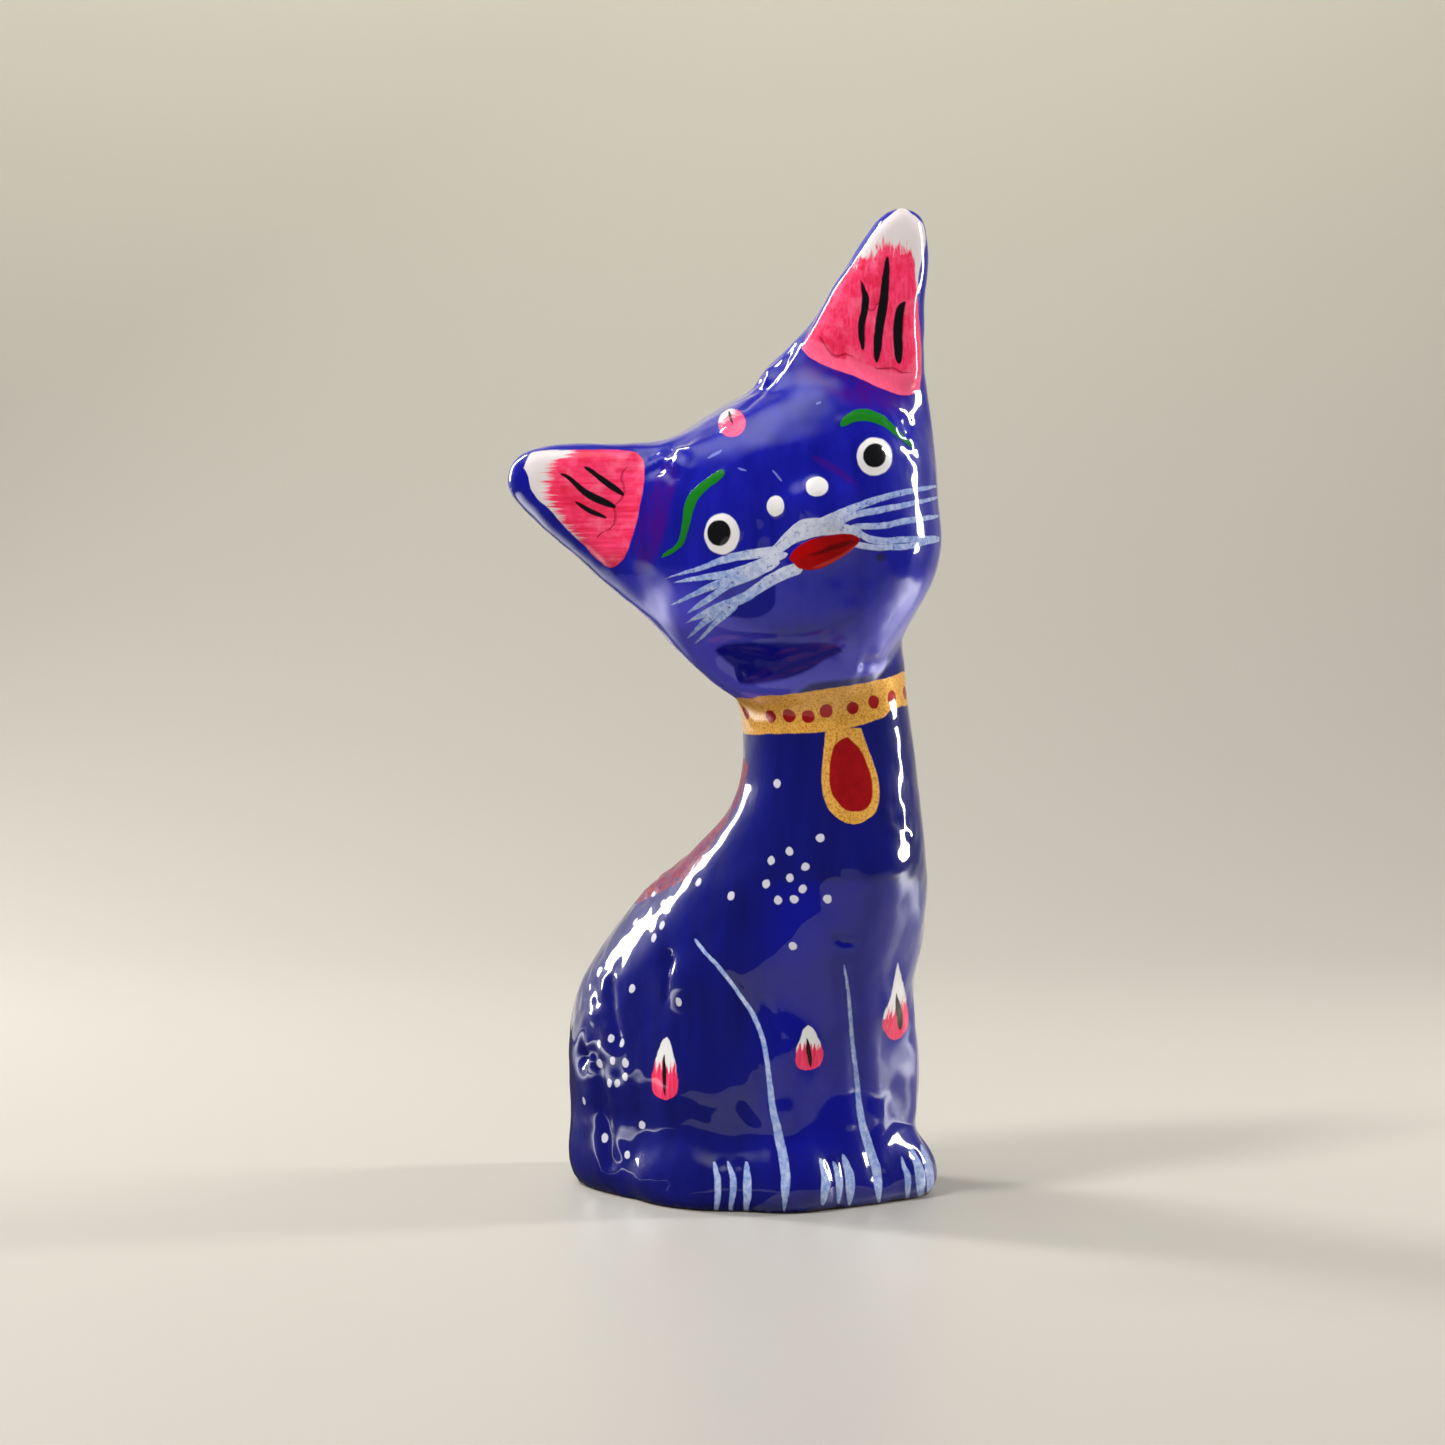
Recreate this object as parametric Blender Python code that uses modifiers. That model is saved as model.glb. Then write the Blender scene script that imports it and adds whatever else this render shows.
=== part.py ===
"""Seated cat figure with its head turned and tilted, a hand-shaped glazed folk ornament.

One solid with a flat underside. Metres, +Z up; the cat faces -Y and its right side is -X.
The origin is in the flat underside, at the middle of the seat.
"""

import math

import bmesh
import bpy
from mathutils import Matrix, Vector

# Driving dimension, from the table to the tip of the higher ear.
FIGURE_HEIGHT = 0.200

# The form is free-hand, so it is written in parts, about 1 mm each, and scaled to the height at the end.
CLAY_GRAIN = 1.25
SOFTENING_PASSES = 24
FACETS = 8200
RING_POINTS = 48

# Torso and neck from below the table upwards: height, sideways, forward, half width, half depth, squareness.
TORSO = (
    (-8, 0, -1.5, 29.5, 37.0, 2.3),
    (0, 0, -1.5, 30.0, 37.5, 2.3),
    (4, 0, -2.4, 30.6, 39.0, 2.3),
    (14, 0, -4.6, 30.0, 38.6, 2.1),
    (26, 0, -5.6, 30.0, 38.4, 2.0),
    (38, 0, -3.0, 29.8, 38.7, 2.0),
    (50, 0, 4.0, 27.8, 36.4, 2.0),
    (60, 0, 10.6, 24.1, 32.6, 2.0),
    (70, 0, 18.8, 20.1, 25.0, 2.0),
    (80, 0, 23.4, 17.6, 18.7, 2.0),
    (92, 0, 23.4, 16.8, 16.6, 2.0),
    (104, -1, 21.8, 17.0, 17.2, 2.0),
    (114, -3, 21.0, 17.5, 18.0, 2.0),
    (126, -5, 21.0, 14.0, 15.0, 2.0),
)
TORSO_ROWS = 60

# Lumps on the cat's left side, each with a twin on the right: centre, radii.
HAUNCH = ((15.0, 8.5, 26), (16.5, 24, 25))
FRONT_LEG = ((10.5, -21.2, 30), (11.5, 11.2, 31))
FRONT_PAW = ((12.5, -24.5, 4), (12.5, 12, 10.5))
HIND_PAW = ((23.0, -10, 3), (10, 16, 11))

# Skull and jaw from chin to crown, in the head's frame; the jaw hangs a little to one side of the face.
SKULL = (
    (-34.0, -7.0, 3.0, 4.0, 5.0, 2.0),
    (-31.0, -6.3, 3.0, 11.5, 11.0, 2.0),
    (-26.5, -5.2, 2.5, 18.7, 16.5, 2.0),
    (-20.0, -3.2, 2.0, 25.0, 20.5, 2.0),
    (-13.0, -2.4, 1.0, 28.6, 23.0, 2.0),
    (-5.5, -1.8, 0.5, 31.2, 24.5, 2.0),
    (3.0, -0.8, 0.0, 33.6, 25.0, 2.0),
    (10.0, -0.6, 0.0, 33.8, 24.0, 2.0),
    (17.0, -0.6, -0.5, 31.2, 21.0, 2.0),
    (22.0, -0.4, -1.0, 26.6, 17.5, 2.0),
    (25.2, 0.0, -1.0, 19.5, 12.5, 2.0),
    (27.0, 0.5, -1.0, 10.0, 6.0, 2.0),
)
SKULL_ROWS = 44
SNOUT = ((3, -18.5, 1), (11, 9, 9))

# The head's own frame has X to the cat's left, -Y out of the face and Z up the face.
HEAD_CENTRE = Vector((-8.6, -22.3, 133.5))
HEAD_YAW = -34.0
HEAD_ROLL = -26.6

# Ears from root to tip: share of the length, half width, half thickness.
HIGH_EAR = (
    (-0.35, 18.5, 11.5),
    (-0.1, 15.0, 10.2),
    (0.13, 12.0, 8.8),
    (0.4, 9.5, 7.4),
    (0.68, 7.6, 6.2),
    (0.9, 5.6, 4.8),
    (1.02, 3.4, 3.0),
)
LOW_EAR = (
    (-0.3, 18.0, 11.5),
    (0, 15.6, 10.5),
    (0.45, 11.0, 8.4),
    (0.75, 8.2, 6.8),
    (0.93, 5.8, 5.2),
    (1.05, 3.0, 2.8),
)
HIGH_EAR_ROOT, HIGH_EAR_TIP = Vector((27.3, 0, 23.4)), Vector((48.6, 1, 45.2))
LOW_EAR_ROOT, LOW_EAR_TIP = Vector((-26.2, 0, 16.2)), Vector((-43.6, 1, 34.6))
EAR_SQUARENESS = 2.4

GLAZE_COLOUR = (0.012, 0.01, 0.27, 1)
GLAZE_ROUGHNESS = 0.12


def clear_scene():
    for thing in list(bpy.data.objects):
        bpy.data.objects.remove(thing)


def smooth_between(values, place):
    """A cubic through listed values, at a place counted in list positions."""
    last = len(values) - 1
    i = min(int(place), last - 1)
    f = place - i
    a, b, c, d = (values[min(max(k, 0), last)] for k in (i - 1, i, i + 1, i + 2))
    return b + 0.5 * f * (c - a + f * (2 * a - 5 * b + 4 * c - d + f * (3 * (b - c) + d - a)))


def oval(half_width, half_depth, squareness):
    """Points of an oval ring; squareness 2 is an ellipse and more is boxier."""
    ring = []
    for k in range(RING_POINTS):
        turn = 2 * math.pi * k / RING_POINTS
        c, s = math.cos(turn), math.sin(turn)
        x = half_width * math.copysign(abs(c) ** (2 / squareness), c)
        y = half_depth * math.copysign(abs(s) ** (2 / squareness), s)
        ring.append(Vector((x, y, 0)))
    return ring


def loft(bm, rings):
    """Skins closed rings of equal count, with both ends filled."""
    rows = [[bm.verts.new(p) for p in ring] for ring in rings]
    for low, high in zip(rows, rows[1:]):
        for k in range(len(low)):
            n = (k + 1) % len(low)
            bm.faces.new((low[k], low[n], high[n], high[k]))
    bm.faces.new(list(reversed(rows[0])))
    bm.faces.new(rows[-1])


def loft_sections(bm, sections, row_count):
    """A loft through sections: height, shift sideways and forward, half width, half depth, squareness."""
    columns = list(zip(*sections))
    rings = []
    for row in range(row_count + 1):
        place = (len(sections) - 1) * row / row_count
        values = [smooth_between(column, place) for column in columns]
        height, sideways, forward, half_width, half_depth, squareness = values
        centre = Vector((sideways, -forward, height))
        rings.append([centre + p for p in oval(half_width, half_depth, squareness)])
    loft(bm, rings)


def lump(bm, centre, radii):
    """A ball of clay stretched to three radii."""
    place = Matrix.Translation(centre) @ Matrix.Diagonal((*radii, 1))
    bmesh.ops.create_uvsphere(bm, u_segments=40, v_segments=24, radius=1, matrix=place)


def haunches_and_legs(bm):
    for (x, y, z), radii in (HAUNCH, FRONT_LEG, FRONT_PAW, HIND_PAW):
        lump(bm, (x, y, z), radii)
        lump(bm, (-x, y, z), radii)


def head_frame():
    yaw = Matrix.Rotation(math.radians(HEAD_YAW), 4, "Z")
    roll = Matrix.Rotation(math.radians(HEAD_ROLL), 4, "Y")
    return Matrix.Translation(HEAD_CENTRE) @ yaw @ roll


def ear(bm, root, tip, sections):
    """A flattened cone along the line from root to tip."""
    axis = tip - root
    lean = Matrix.Rotation(math.atan2(axis.x, axis.z), 4, "Y")
    rings = []
    for share, half_width, half_thick in sections:
        row = Matrix.Translation(root + axis * share) @ lean
        rings.append([row @ p for p in oval(half_width, half_thick, EAR_SQUARENESS)])
    loft(bm, rings)


def head(bm):
    """Skull, snout and ears, made upright and then turned and tilted on the neck."""
    own = bmesh.new()
    loft_sections(own, SKULL, SKULL_ROWS)
    lump(own, *SNOUT)
    ear(own, HIGH_EAR_ROOT, HIGH_EAR_TIP, HIGH_EAR)
    ear(own, LOW_EAR_ROOT, LOW_EAR_TIP, LOW_EAR)
    bmesh.ops.transform(own, matrix=head_frame(), verts=own.verts)
    shape = bpy.data.meshes.new("head_form")
    own.to_mesh(shape)
    own.free()
    bm.from_mesh(shape)
    bpy.data.meshes.remove(shape)


def rough_form():
    """All the lumps of clay pressed together, still overlapping."""
    bm = bmesh.new()
    loft_sections(bm, TORSO, TORSO_ROWS)
    haunches_and_legs(bm)
    head(bm)
    bmesh.ops.recalc_face_normals(bm, faces=bm.faces)
    mesh = bpy.data.meshes.new("clay")
    bm.to_mesh(mesh)
    bm.free()
    return mesh


def one_skin(mesh):
    """One skin over the lumps, softened where they meet."""
    clay = bpy.data.objects.new("clay", mesh)
    bpy.context.scene.collection.objects.link(clay)
    skin = clay.modifiers.new("one_skin", "REMESH")
    skin.mode = "VOXEL"
    skin.voxel_size = CLAY_GRAIN
    soften = clay.modifiers.new("soften", "SMOOTH")
    soften.factor = 0.5
    soften.iterations = SOFTENING_PASSES
    graph = bpy.context.evaluated_depsgraph_get()
    made = bpy.data.meshes.new_from_object(clay.evaluated_get(graph))
    bpy.data.objects.remove(clay)
    return made


def slice_flat(mesh):
    """Cuts the underside flat at the table."""
    bm = bmesh.new()
    bm.from_mesh(mesh)
    everything = bm.verts[:] + bm.edges[:] + bm.faces[:]
    bmesh.ops.bisect_plane(bm, geom=everything, plane_co=(0, 0, 0), plane_no=(0, 0, -1), clear_outer=True)
    rim = [edge for edge in bm.edges if edge.is_boundary]
    bmesh.ops.edgeloop_fill(bm, edges=rim)
    bm.to_mesh(mesh)
    bm.free()


def scale_to_height(mesh):
    """Turns parts into metres, so that the ear tip is at the figure's height."""
    top = max(vertex.co.z for vertex in mesh.vertices)
    mesh.transform(Matrix.Scale(FIGURE_HEIGHT / top, 4))


def glaze():
    material = bpy.data.materials.new("blue_glaze")
    material.use_nodes = True
    shader = material.node_tree.nodes["Principled BSDF"]
    shader.inputs["Base Color"].default_value = GLAZE_COLOUR
    shader.inputs["Roughness"].default_value = GLAZE_ROUGHNESS
    shader.inputs["Metallic"].default_value = 0
    return material


def main():
    clear_scene()
    mesh = one_skin(rough_form())
    slice_flat(mesh)
    scale_to_height(mesh)
    mesh.name = "cat_figure"
    mesh.materials.clear()
    mesh.materials.append(glaze())
    mesh.shade_smooth()
    cat = bpy.data.objects.new("cat_figure", mesh)
    group = bpy.data.collections.new("cat_statue")
    bpy.context.scene.collection.children.link(group)
    group.objects.link(cat)
    mesh.calc_loop_triangles()
    facets = cat.modifiers.new("facets", "DECIMATE")
    facets.ratio = FACETS / len(mesh.loop_triangles)


main()
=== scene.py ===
"""Looks of the seated folk cat: hand-worked clay under painted decoration and thick clear varnish.

Metres, +Z up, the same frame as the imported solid. Marks that the photograph shows are placed by their
pixels in it, through its own camera, and are found again on the clay; the hidden sides repeat them.
"""

import math

import bmesh
import bpy
import numpy as np
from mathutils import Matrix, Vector, noise
from mathutils.bvhtree import BVHTree


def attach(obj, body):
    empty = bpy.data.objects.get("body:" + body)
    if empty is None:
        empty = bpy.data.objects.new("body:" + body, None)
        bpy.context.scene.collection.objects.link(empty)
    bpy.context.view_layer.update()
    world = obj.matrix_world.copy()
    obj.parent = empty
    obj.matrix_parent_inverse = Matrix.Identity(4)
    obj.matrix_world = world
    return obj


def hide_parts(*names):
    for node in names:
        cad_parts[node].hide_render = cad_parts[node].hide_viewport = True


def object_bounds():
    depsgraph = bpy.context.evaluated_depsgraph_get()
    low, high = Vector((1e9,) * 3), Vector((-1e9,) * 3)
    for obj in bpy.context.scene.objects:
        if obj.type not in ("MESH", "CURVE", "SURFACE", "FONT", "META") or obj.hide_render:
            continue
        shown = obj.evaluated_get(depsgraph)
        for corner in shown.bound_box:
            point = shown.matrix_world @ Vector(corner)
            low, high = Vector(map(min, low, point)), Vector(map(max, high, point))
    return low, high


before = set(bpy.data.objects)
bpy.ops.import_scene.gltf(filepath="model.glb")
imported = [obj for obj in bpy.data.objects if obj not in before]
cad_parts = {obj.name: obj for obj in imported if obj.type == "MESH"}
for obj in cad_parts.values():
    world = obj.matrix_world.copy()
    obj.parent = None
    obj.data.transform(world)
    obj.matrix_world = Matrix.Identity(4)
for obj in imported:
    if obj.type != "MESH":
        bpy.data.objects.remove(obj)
cad_low, cad_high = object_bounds()

# The photograph's camera: its side in pixels, and the pixel where the figure's origin shows.
PHOTO_SIDE = 1445
ORIGIN_X, ORIGIN_Y = 751.5, 1187.0
CAMERA_AZIMUTH = math.radians(-40)
CAMERA_ELEVATION = math.radians(3)
CAMERA_DISTANCE = 1.019
PIXEL = 0.0002054
FOCAL_PIXELS = CAMERA_DISTANCE / PIXEL
SENSOR_WIDTH = 36

UPRIGHT = Vector((0, 0, 1))
BACK = Vector((
    math.sin(CAMERA_AZIMUTH) * math.cos(CAMERA_ELEVATION),
    -math.cos(CAMERA_AZIMUTH) * math.cos(CAMERA_ELEVATION),
    math.sin(CAMERA_ELEVATION),
))
RIGHT = Vector((math.cos(CAMERA_AZIMUTH), math.sin(CAMERA_AZIMUTH), 0))
UP = BACK.cross(RIGHT)
AIM = (
    -RIGHT * (ORIGIN_X - PHOTO_SIDE / 2) * PIXEL
    + UPRIGHT * (ORIGIN_Y - PHOTO_SIDE / 2) * PIXEL / math.cos(CAMERA_ELEVATION)
)
EYE = AIM + BACK * CAMERA_DISTANCE
MIRROR = Vector((-1, 1, 1))

# Working of the clay.
GRAIN = 0.00074
SMOOTHING = 26
MM = 0.001
# Layers of the skin's waver: scale for each metre, height in mm and shift of the noise.
WAVER = ((42, 0.70, (3.1, 7.7, 1.9)), (105, 0.36, (8.3, 2.2, 6.1)), (260, 0.11, (0, 0, 0)))
PINCHED = (340, 1.0, (1.2, 9.3, 4.4))
# Heights in mm: from one down the marks of the hand fade, and below the other the skin is flat.
SHORE = 4.0
FLAT_BELOW = 0.45
# Unsteadiness of the painter's hand: in pixels, in dots and petals, and at the edges of the collar.
WOBBLE = 1.8
SHAKE = 0.6 * MM
COLLAR_WAVER = 0.7 * MM
# Width of a dot's soft edge, and a stroke's half width at its ends, below 0 so that nothing shows there.
DOT_EDGE = 0.18 * MM
STROKE_END = -0.7
# Thickness of paint, depth of its cracks and swell of the varnish.
THICK_PAINT = 0.08 * MM
GOLD_PAINT = 0.06 * MM
CRACK_DEPTH = 0.2 * MM
VARNISH_SWELL = 0.05 * MM

# Paints, as linear red, green and blue.
DEEP_BLUE = (0.0045, 0.0055, 0.108)
BRIGHT_BLUE = (0.006, 0.008, 0.165)
NIGHT_BLUE = (0.004, 0.005, 0.078)
# Painted light: a brighter blue on the belly, for light from the floor below.
BELLY_LIGHT_BLUE = (0.004, 0.005, 0.29)
# Painted light: the head's blues, brighter than the body's where the head is lit more.
FACE_LIT_BLUE = (0.004, 0.005, 0.225)
FACE_LIT_BRIGHT = (0.010, 0.012, 0.35)
PURPLE = (0.050, 0.003, 0.20)
PINK = (0.92, 0.060, 0.175)
DEEP_PINK = (0.76, 0.022, 0.075)
PALE_PINK = (0.95, 0.20, 0.32)
WHITE = (0.78, 0.75, 0.74)
EAR_WHITE = (0.67, 0.60, 0.59)
DOT_WHITE = (0.58, 0.57, 0.65)
WHISKER_PALE = (0.53, 0.58, 0.76)
WHISKER_BLUE = (0.17, 0.27, 0.60)
GREEN = (0.008, 0.17, 0.012)
RED = (0.42, 0.007, 0.010)
DARK_RED = (0.24, 0.004, 0.006)
LIP_RED = (0.40, 0.002, 0.003)
# Painted shade on the lips.
LIP_SHADE_RED = (0.20, 0.002, 0.003)
GOLD = (0.53, 0.215, 0.018)
PALE_GOLD = (0.84, 0.44, 0.085)
BLACK = (0.006, 0.006, 0.008)
RUST = (0.22, 0.016, 0.032)
ORANGE_RUST = (0.33, 0.09, 0.05)
# Painted reflection: reddish streaks under the chin.
CHIN_REFLECTION_RED = (0.11, 0.020, 0.15)
BLOTCH_RED = (0.66, 0.012, 0.045)
BAND_PINK = (0.94, 0.14, 0.26)
# Painted reflection: pale blue on the cheeks and jaw.
JAW_REFLECTION_BLUE = (0.085, 0.076, 0.62)
# Painted shade: deep blue under the chin and under the whiskers.
THROAT_SHADE_BLUE = (0.003, 0.004, 0.20)
NICK_BLUE = (0.20, 0.24, 0.66)
# Painted shade in the crease of the mouth.
CREASE_SHADE_RED = (0.06, 0.002, 0.003)
# Painted highlight on the lower lip.
LIP_HIGHLIGHT_RED = (0.62, 0.05, 0.04)
CRACK_RED = (0.30, 0.006, 0.02)
DULL_GOLD = (0.42, 0.19, 0.035)
CLAY = (0.42, 0.20, 0.11)
PALE_CLAY = (0.58, 0.33, 0.20)


def ray(x, y):
    """Direction from the photograph's camera through a pixel."""
    across = (x - PHOTO_SIDE / 2) / FOCAL_PIXELS
    rise = (PHOTO_SIDE / 2 - y) / FOCAL_PIXELS
    return (RIGHT * across + UP * rise - BACK).normalized()


def pixel_of(point):
    """The photograph's pixel where a point shows."""
    away = point - EYE
    depth = -away.dot(BACK)
    return (
        PHOTO_SIDE / 2 + FOCAL_PIXELS * away.dot(RIGHT) / depth,
        PHOTO_SIDE / 2 - FOCAL_PIXELS * away.dot(UP) / depth,
    )


def tree_of(piece):
    mesh = piece.data
    return BVHTree.FromPolygons([v.co for v in mesh.vertices], [p.vertices for p in mesh.polygons])


def on_clay(tree, x, y, mirrored=False):
    """Point and outward normal of the clay at a pixel; mirrored, of its twin on the cat's left."""
    flip = MIRROR if mirrored else Vector((1, 1, 1))
    start, way = EYE * flip, ray(x, y) * flip
    point, normal, _, _ = tree.ray_cast(start, way)
    if point is None:
        point, normal, _, _ = tree.find_nearest(start + way * CAMERA_DISTANCE)
    return point, normal


def fine_copy(node):
    """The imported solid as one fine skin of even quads, smoothed."""
    piece = bpy.data.objects.new("painted_cat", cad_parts[node].data.copy())
    bpy.context.scene.collection.objects.link(piece)
    bpy.ops.object.select_all(action="DESELECT")
    bpy.context.view_layer.objects.active = piece
    piece.select_set(True)
    bpy.ops.object.mode_set(mode="EDIT")
    bpy.ops.mesh.select_all(action="SELECT")
    bpy.ops.mesh.remove_doubles(threshold=0.000002)
    bpy.ops.object.mode_set(mode="OBJECT")
    skin = piece.modifiers.new("skin", "REMESH")
    skin.mode = "VOXEL"
    skin.voxel_size = GRAIN
    bpy.ops.object.modifier_apply(modifier=skin.name)
    soften = piece.modifiers.new("soften", "SMOOTH")
    soften.factor = 0.5
    soften.iterations = SMOOTHING
    bpy.ops.object.modifier_apply(modifier=soften.name)
    return piece


# Marks of the hand in the clay, by pixel: x, y, radius in mm, depth in mm (raised where negative).
HOLLOWS = (
    (581, 1057, 2.4, 1.7),
    (592, 1043, 3.5, 0.7),
    (845, 941, 1.8, 0.4),
    (864, 666, 1.6, 0.8),
    (842, 660, 1.2, 0.5),
    (666, 962, 2.6, 0.8),
    (655, 1010, 5.0, 0.6),
    (686, 985, 4.0, -0.8),
    (690, 1092, 10.0, -1.5),
    (735, 1090, 7.0, -0.6),
    (778, 1122, 4.6, -1.1),
    (840, 1120, 5.5, -0.8),
    (905, 1130, 5.0, -0.4),
    (800, 1000, 7.0, 0.6),
    (780, 930, 7.0, 0.4),
    (880, 880, 6.0, -0.8),
    (884, 1015, 6.0, -1.1),
    (876, 1062, 5.0, -0.9),
    (728, 1070, 12.0, -1.6),
    (606, 1160, 6.0, -0.7),
    (640, 1180, 6.0, -0.7),
    (798, 500, 3.4, -1.3),
    (760, 450, 6.0, -0.8),
    (690, 455, 4.0, -0.6),
    (700, 600, 7.0, -0.5),
    (880, 600, 7.0, 0.4),
    (680, 545, 5.0, 0.6),
)
# Thick blobs of paint, flat on top: x, y, radius in mm, height in mm.
BLOBS = (
    (722, 534, 3.75, 0.40),
    (719, 533, 2.20, 0.28),
    (874.5, 456.5, 3.6, 0.40),
    (874.5, 455.5, 2.15, 0.28),
    (775.5, 506, 1.9, 0.45),
    (817, 486.5, 2.2, 0.45),
    (732, 423, 2.6, 0.30),
)
# Grooves by pixel, each with its width and depth in mm; thick strokes of paint have a depth below 0.
GROOVES = (
    (((698, 944), (739, 993), (764, 1044), (773, 1109), (785, 1176)), 1.8, 0.6),
    (((598, 1066), (601, 1110), (611, 1160)), 2.4, 1.2),
    (((668, 954), (666, 975), (665, 998)), 0.8, 0.6),
    (((712, 648), (728, 643), (760, 640), (800, 640), (832, 636)), 1.1, 0.5),
    (((844, 967), (852, 1037), (860, 1114), (877, 1175), (879, 1206)), 1.8, 0.6),
    (((763, 998), (772, 1018), (782, 1042)), 0.9, 0.5),
    (((837, 938), (845, 942), (855, 942)), 0.9, 0.5),
    (((612, 985), (613, 1012), (618, 1040)), 1.3, 0.6),
    (((722, 1166), (723, 1214)), 0.9, 0.35),
    (((740, 1166), (740, 1214)), 0.9, 0.35),
    (((828, 1162), (831, 1203)), 0.9, 0.35),
    (((842, 1162), (844, 1203)), 0.9, 0.35),
    (((914, 1155), (916, 1200)), 0.9, 0.35),
    (((728, 664), (775, 670), (834, 656)), 5.0, 3.4),
    (((795, 345), (785, 366), (765, 390), (745, 408)), 0.9, 0.45),
    (((800, 557), (822, 553), (846, 545)), 2.0, -0.45),
    (((722, 476), (695, 495), (684, 533), (670, 552)), 1.0, -0.22),
    (((843, 421), (860, 415.5), (879, 419.5), (895, 431), (912, 445)), 1.0, -0.22),
)
# How many of the first grooves the cat's left side repeats.
MIRRORED_GROOVES = 1
# Pixel row below which raised lumps are repeated there too.
BODY_TOP = 900
# Fronts of the ears, by pixel, which are pressed flat inside a rim.
HIGH_EAR_FRONT = (
    (900, 209), (878, 226), (856, 256), (833, 288), (812, 325), (803, 344), (808, 356), (826, 367),
    (856, 377), (887, 391), (907, 395), (920, 387), (923, 371), (922, 343), (918, 312), (918, 282),
    (923, 251), (923, 236), (917, 219), (910, 212),
)
LOW_EAR_FRONT = (
    (527, 462), (533, 452), (570, 450), (633, 451), (643, 461), (644, 475), (639, 508), (631, 541),
    (619, 564), (608, 567), (600, 561), (583, 544), (566, 528), (550, 510), (533, 493), (527, 472),
)
# The rim's width in pixels, and how squarely skin faces the camera where it is pressed.
EAR_RIM = 13.0
EAR_FACING = 0.25
PANEL_PRESS = 0.75
PANEL_SINK = 0.25 * MM
# Places where the clay was pinched and left rough: x, y, radius in mm, roughness in mm.
ROUGH = (
    (598, 985, 7, 0.28),
    (655, 885, 6, 0.45),
    (765, 380, 5, 0.50),
    (668, 458, 4.5, 0.85),
    (677, 480, 3, 0.45),
    (905, 430, 5, 0.35),
    (862, 667, 4, 0.55),
    (588, 1056, 4, 0.5),
    (745, 682, 4, 0.35),
    (622, 1090, 7, 0.15),
    (908, 830, 6, 0.25),
)


def along_lines(places, lines):
    """Distance of each place to the nearest of some broken lines."""
    nearest = np.full(len(places), 1.0)
    for line in lines:
        for start, end in zip(line, line[1:]):
            a, b = np.array(start), np.array(end)
            share = np.clip((places - a) @ (b - a) / ((b - a) @ (b - a)), 0, 1)
            gap = np.linalg.norm(places - a - share[:, None] * (b - a), axis=1)
            nearest = np.minimum(nearest, gap)
    return nearest


def within(spots, outline, rim):
    """How far each spot is inside an outline, from 0 at its edge to 1 from the rim inwards."""
    crossings = np.zeros(len(spots), dtype=bool)
    nearest = np.full(len(spots), 1e6)
    x, y = spots.T
    for (ax, ay), (bx, by) in zip(outline, (*outline[1:], outline[0])):
        run, drop = bx - ax, by - ay
        spans = (ay > y) != (by > y)
        crossings ^= spans & (x < ax + (y - ay) * run / (drop or 1e-9))
        share = np.clip(((x - ax) * run + (y - ay) * drop) / (run ** 2 + drop ** 2), 0, 1)
        nearest = np.minimum(nearest, np.hypot(x - ax - share * run, y - ay - share * drop))
    return np.where(crossings, np.clip(nearest / rim, 0, 1), 0)


def press_panels(places, normals):
    """Moves that press the front of each ear nearly flat, inside its painted panel."""
    away = places - np.array(EYE)
    depth = -(away @ np.array(BACK))
    x = PHOTO_SIDE / 2 + FOCAL_PIXELS * (away @ np.array(RIGHT)) / depth
    y = PHOTO_SIDE / 2 - FOCAL_PIXELS * (away @ np.array(UP)) / depth
    lift = np.zeros(len(places))
    for outline in (HIGH_EAR_FRONT, LOW_EAR_FRONT):
        inside = within(np.stack((x, y), axis=1), outline, EAR_RIM)
        inside[normals @ np.array(BACK) < EAR_FACING] = 0
        panel = places[inside > 0.5]
        middle = panel.mean(axis=0)
        _, _, axes = np.linalg.svd(panel - middle, full_matrices=False)
        out = axes[2] * np.sign(axes[2] @ np.array(BACK))
        lift -= ((places - middle) @ out + PANEL_SINK) * inside * PANEL_PRESS
    return lift


def wavers(place, layers):
    """Height of some layers of noise at a place, in metres."""
    return sum(noise.noise(place * scale + Vector(shift)) * height * MM for scale, height, shift in layers)


def mound(places, centre, radius, power=2):
    """A mound from 1 at its middle, with a radius in mm; a higher power makes its top flatter."""
    gap = np.linalg.norm(places - np.array(centre), axis=1)
    return np.exp(-((gap / (radius * MM)) ** power))


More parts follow.
